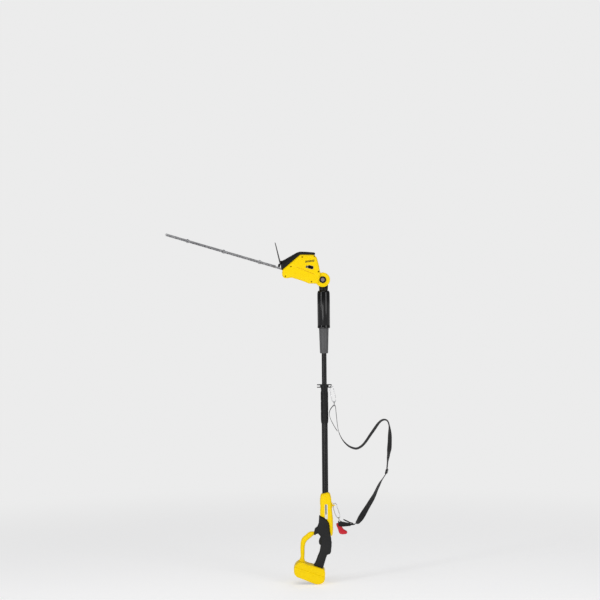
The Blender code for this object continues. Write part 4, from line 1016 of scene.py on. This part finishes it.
springs = [  # name, joint, axis, side of the fixed end, share of the length left at the limit
    ("button_spring", "button_press", (0, 1, 0), 1, 0.15),
    ("trigger_spring", "trigger_pull", (1, 0, 0), 1, 0.25),
    ("lever_spring", "lock_lever_press", (1, 0, 0), -1, 0.15),
]
for node, joint, axis, side, keep in springs:
    low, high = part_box(node)
    spring = stand(node.split("_")[0] + "Coil", softened(node, 0.0), node)
    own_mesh(spring)
print("handle made")

wireSizes = {"thick": 0.0015, "gate": 0.0013, "ring": 0.0014, "sides": 14, "steps": 5}


def swept(points, radius, sides, closed=False):
    bm = bmesh.new()
    count = len(points)
    ahead = [(points[(i + 1) % count if closed else min(i + 1, count - 1)]
              - points[i - 1 if closed or i else 0]).normalized() for i in range(count)]
    side = ahead[0].orthogonal().normalized()
    if abs(ahead[0].y) < 0.9:
        side = (Vector((0, 1, 0)) - ahead[0] * ahead[0].y).normalized()
    rings = []
    for point, run in zip(points, ahead):
        side = (side - run * side.dot(run)).normalized()
        other = run.cross(side)
        rings.append([bm.verts.new(point + (side * math.cos(a) + other * math.sin(a)) * radius)
                      for a in (math.tau * k / sides for k in range(sides))])
    pairs = list(zip(rings, rings[1:] + rings[:1])) if closed else list(zip(rings, rings[1:]))
    for a, b in pairs:
        for k in range(sides):
            n = (k + 1) % sides
            bm.faces.new((a[k], a[n], b[n], b[k]))
    if not closed:
        for ring in (rings[0], rings[-1]):
            bm.faces.new(ring)
    return outward(bm)


def hookWire(outline):
    return swept(smoothRun([(x, 0, z) for x, z in outline], wireSizes["steps"]), wireSizes["thick"],
                 wireSizes["sides"])


def eyeRing(apex, bar, half=0.0172):
    apex, bar = Vector((apex[0], 0, apex[1])), Vector((bar[0], 0, bar[1]))
    shape = [(0.0, 1.0), (0.004, 0.94), (0.0105, 0.60), (half - 0.0005, 0.30), (half, 0.10), (0.0155, 0.0)]
    shape += [(-y, up) for y, up in reversed(shape[1:])]
    points = [bar + (apex - bar) * up + Vector((0, y, 0)) for y, up in shape]
    return swept(softCorners(points, 0.0030, 3, 0.4), wireSizes["ring"], wireSizes["sides"], True)


upperHook = mm([
    (35.6, 629.3), (33, 633.5), (29, 635.6), (25, 635), (23.3, 631), (23.3, 623), (24.3, 608), (27.5, 589),
    (32.8, 573.5), (38.8, 569.3), (44, 573.5), (45.6, 584),
])
lowerHook = mm([
    (45.2, 157.2), (42.5, 163), (38, 166), (34, 164.5), (32.2, 160), (32.5, 150), (35, 136), (40, 121),
    (45.5, 111), (51.2, 106.2), (56.2, 109), (57.2, 116.5),
])
stand("hookUpper", hookWire(upperHook), "upper_hook")
stand("hookLower", hookWire(lowerHook), "lower_hook")
for name, node, ends in (("gateUpper", "upper_gate", ((0.0453, 0.5875), (0.0361, 0.6262))),
                         ("gateLower", "lower_gate", ((0.0570, 0.1202), (0.0459, 0.1541)))):
    low, high = (Vector((x, 0, z)) for x, z in ends)
    gate = swept([low.lerp(high, k / 8) for k in range(9)], wireSizes["gate"], wireSizes["sides"])
    stand(name, gate, node)
stand("ringUpper", eyeRing((0.0386, 0.5732), (0.0390, 0.5549)), "upper_ring")
stand("ringLower", eyeRing((0.0514, 0.1101), (0.0566, 0.0925), 0.0165), "lower_ring")
stand("slider", softened("strap_slider", 0.0007, 3), "strap_slider")
stand("buckle", softened("release_buckle", 0.0008, 3), "release_buckle")
tabSizes = {"half": 0.0088, "rim": 0.0032, "crown": 0.0003, "corner": 0.003, "step": 0.0011}
tab = pillow(mm([
    (54, 87.2), (47, 86.6), (42.5, 83.5), (43, 79), (49, 64), (53, 50), (57, 44), (67, 41.8), (82, 43),
    (87.5, 48), (85, 54.5), (73.5, 60.5), (67, 69), (64, 80), (61, 86.8),
]), tabSizes)
stand("releaseTab", tab, "release_tab")


stitchSizes = {"Radius": 0.00035, "Length": 0.0021, "spacing": 0.0030,
               "rows": (-0.0120, -0.0040, 0.0040, 0.0120)}


def stitched(name, frames, start, end, lift):
    s = stitchSizes
    places, runs, last = [], [], -1.0
    for (point, wide, face, run), (ahead, *_) in zip(frames, frames[1:]):
        if start <= run <= end and run - last >= s["spacing"]:
            last = run
            places += [point + wide * across + face * lift for across in s["rows"]]
            runs += [(ahead - point).normalized()] * len(s["rows"])
    repeated(name, stitchSet, s, threadFinish, "pole", places, runs)


fineFrames = ribbonFrames(strap["route"], 12, strap["turn"])
for name, start, end in (("stitchesUpper", 0.112, 0.140),
                         ("stitchesLower", strapLength - 0.052, strapLength - 0.030)):
    for word, lift in (("Out", 0.0009), ("In", -0.0009)):
        stitched(name + word, fineFrames, start, end, lift)
print("strap and hooks made")

print("pieces placed")
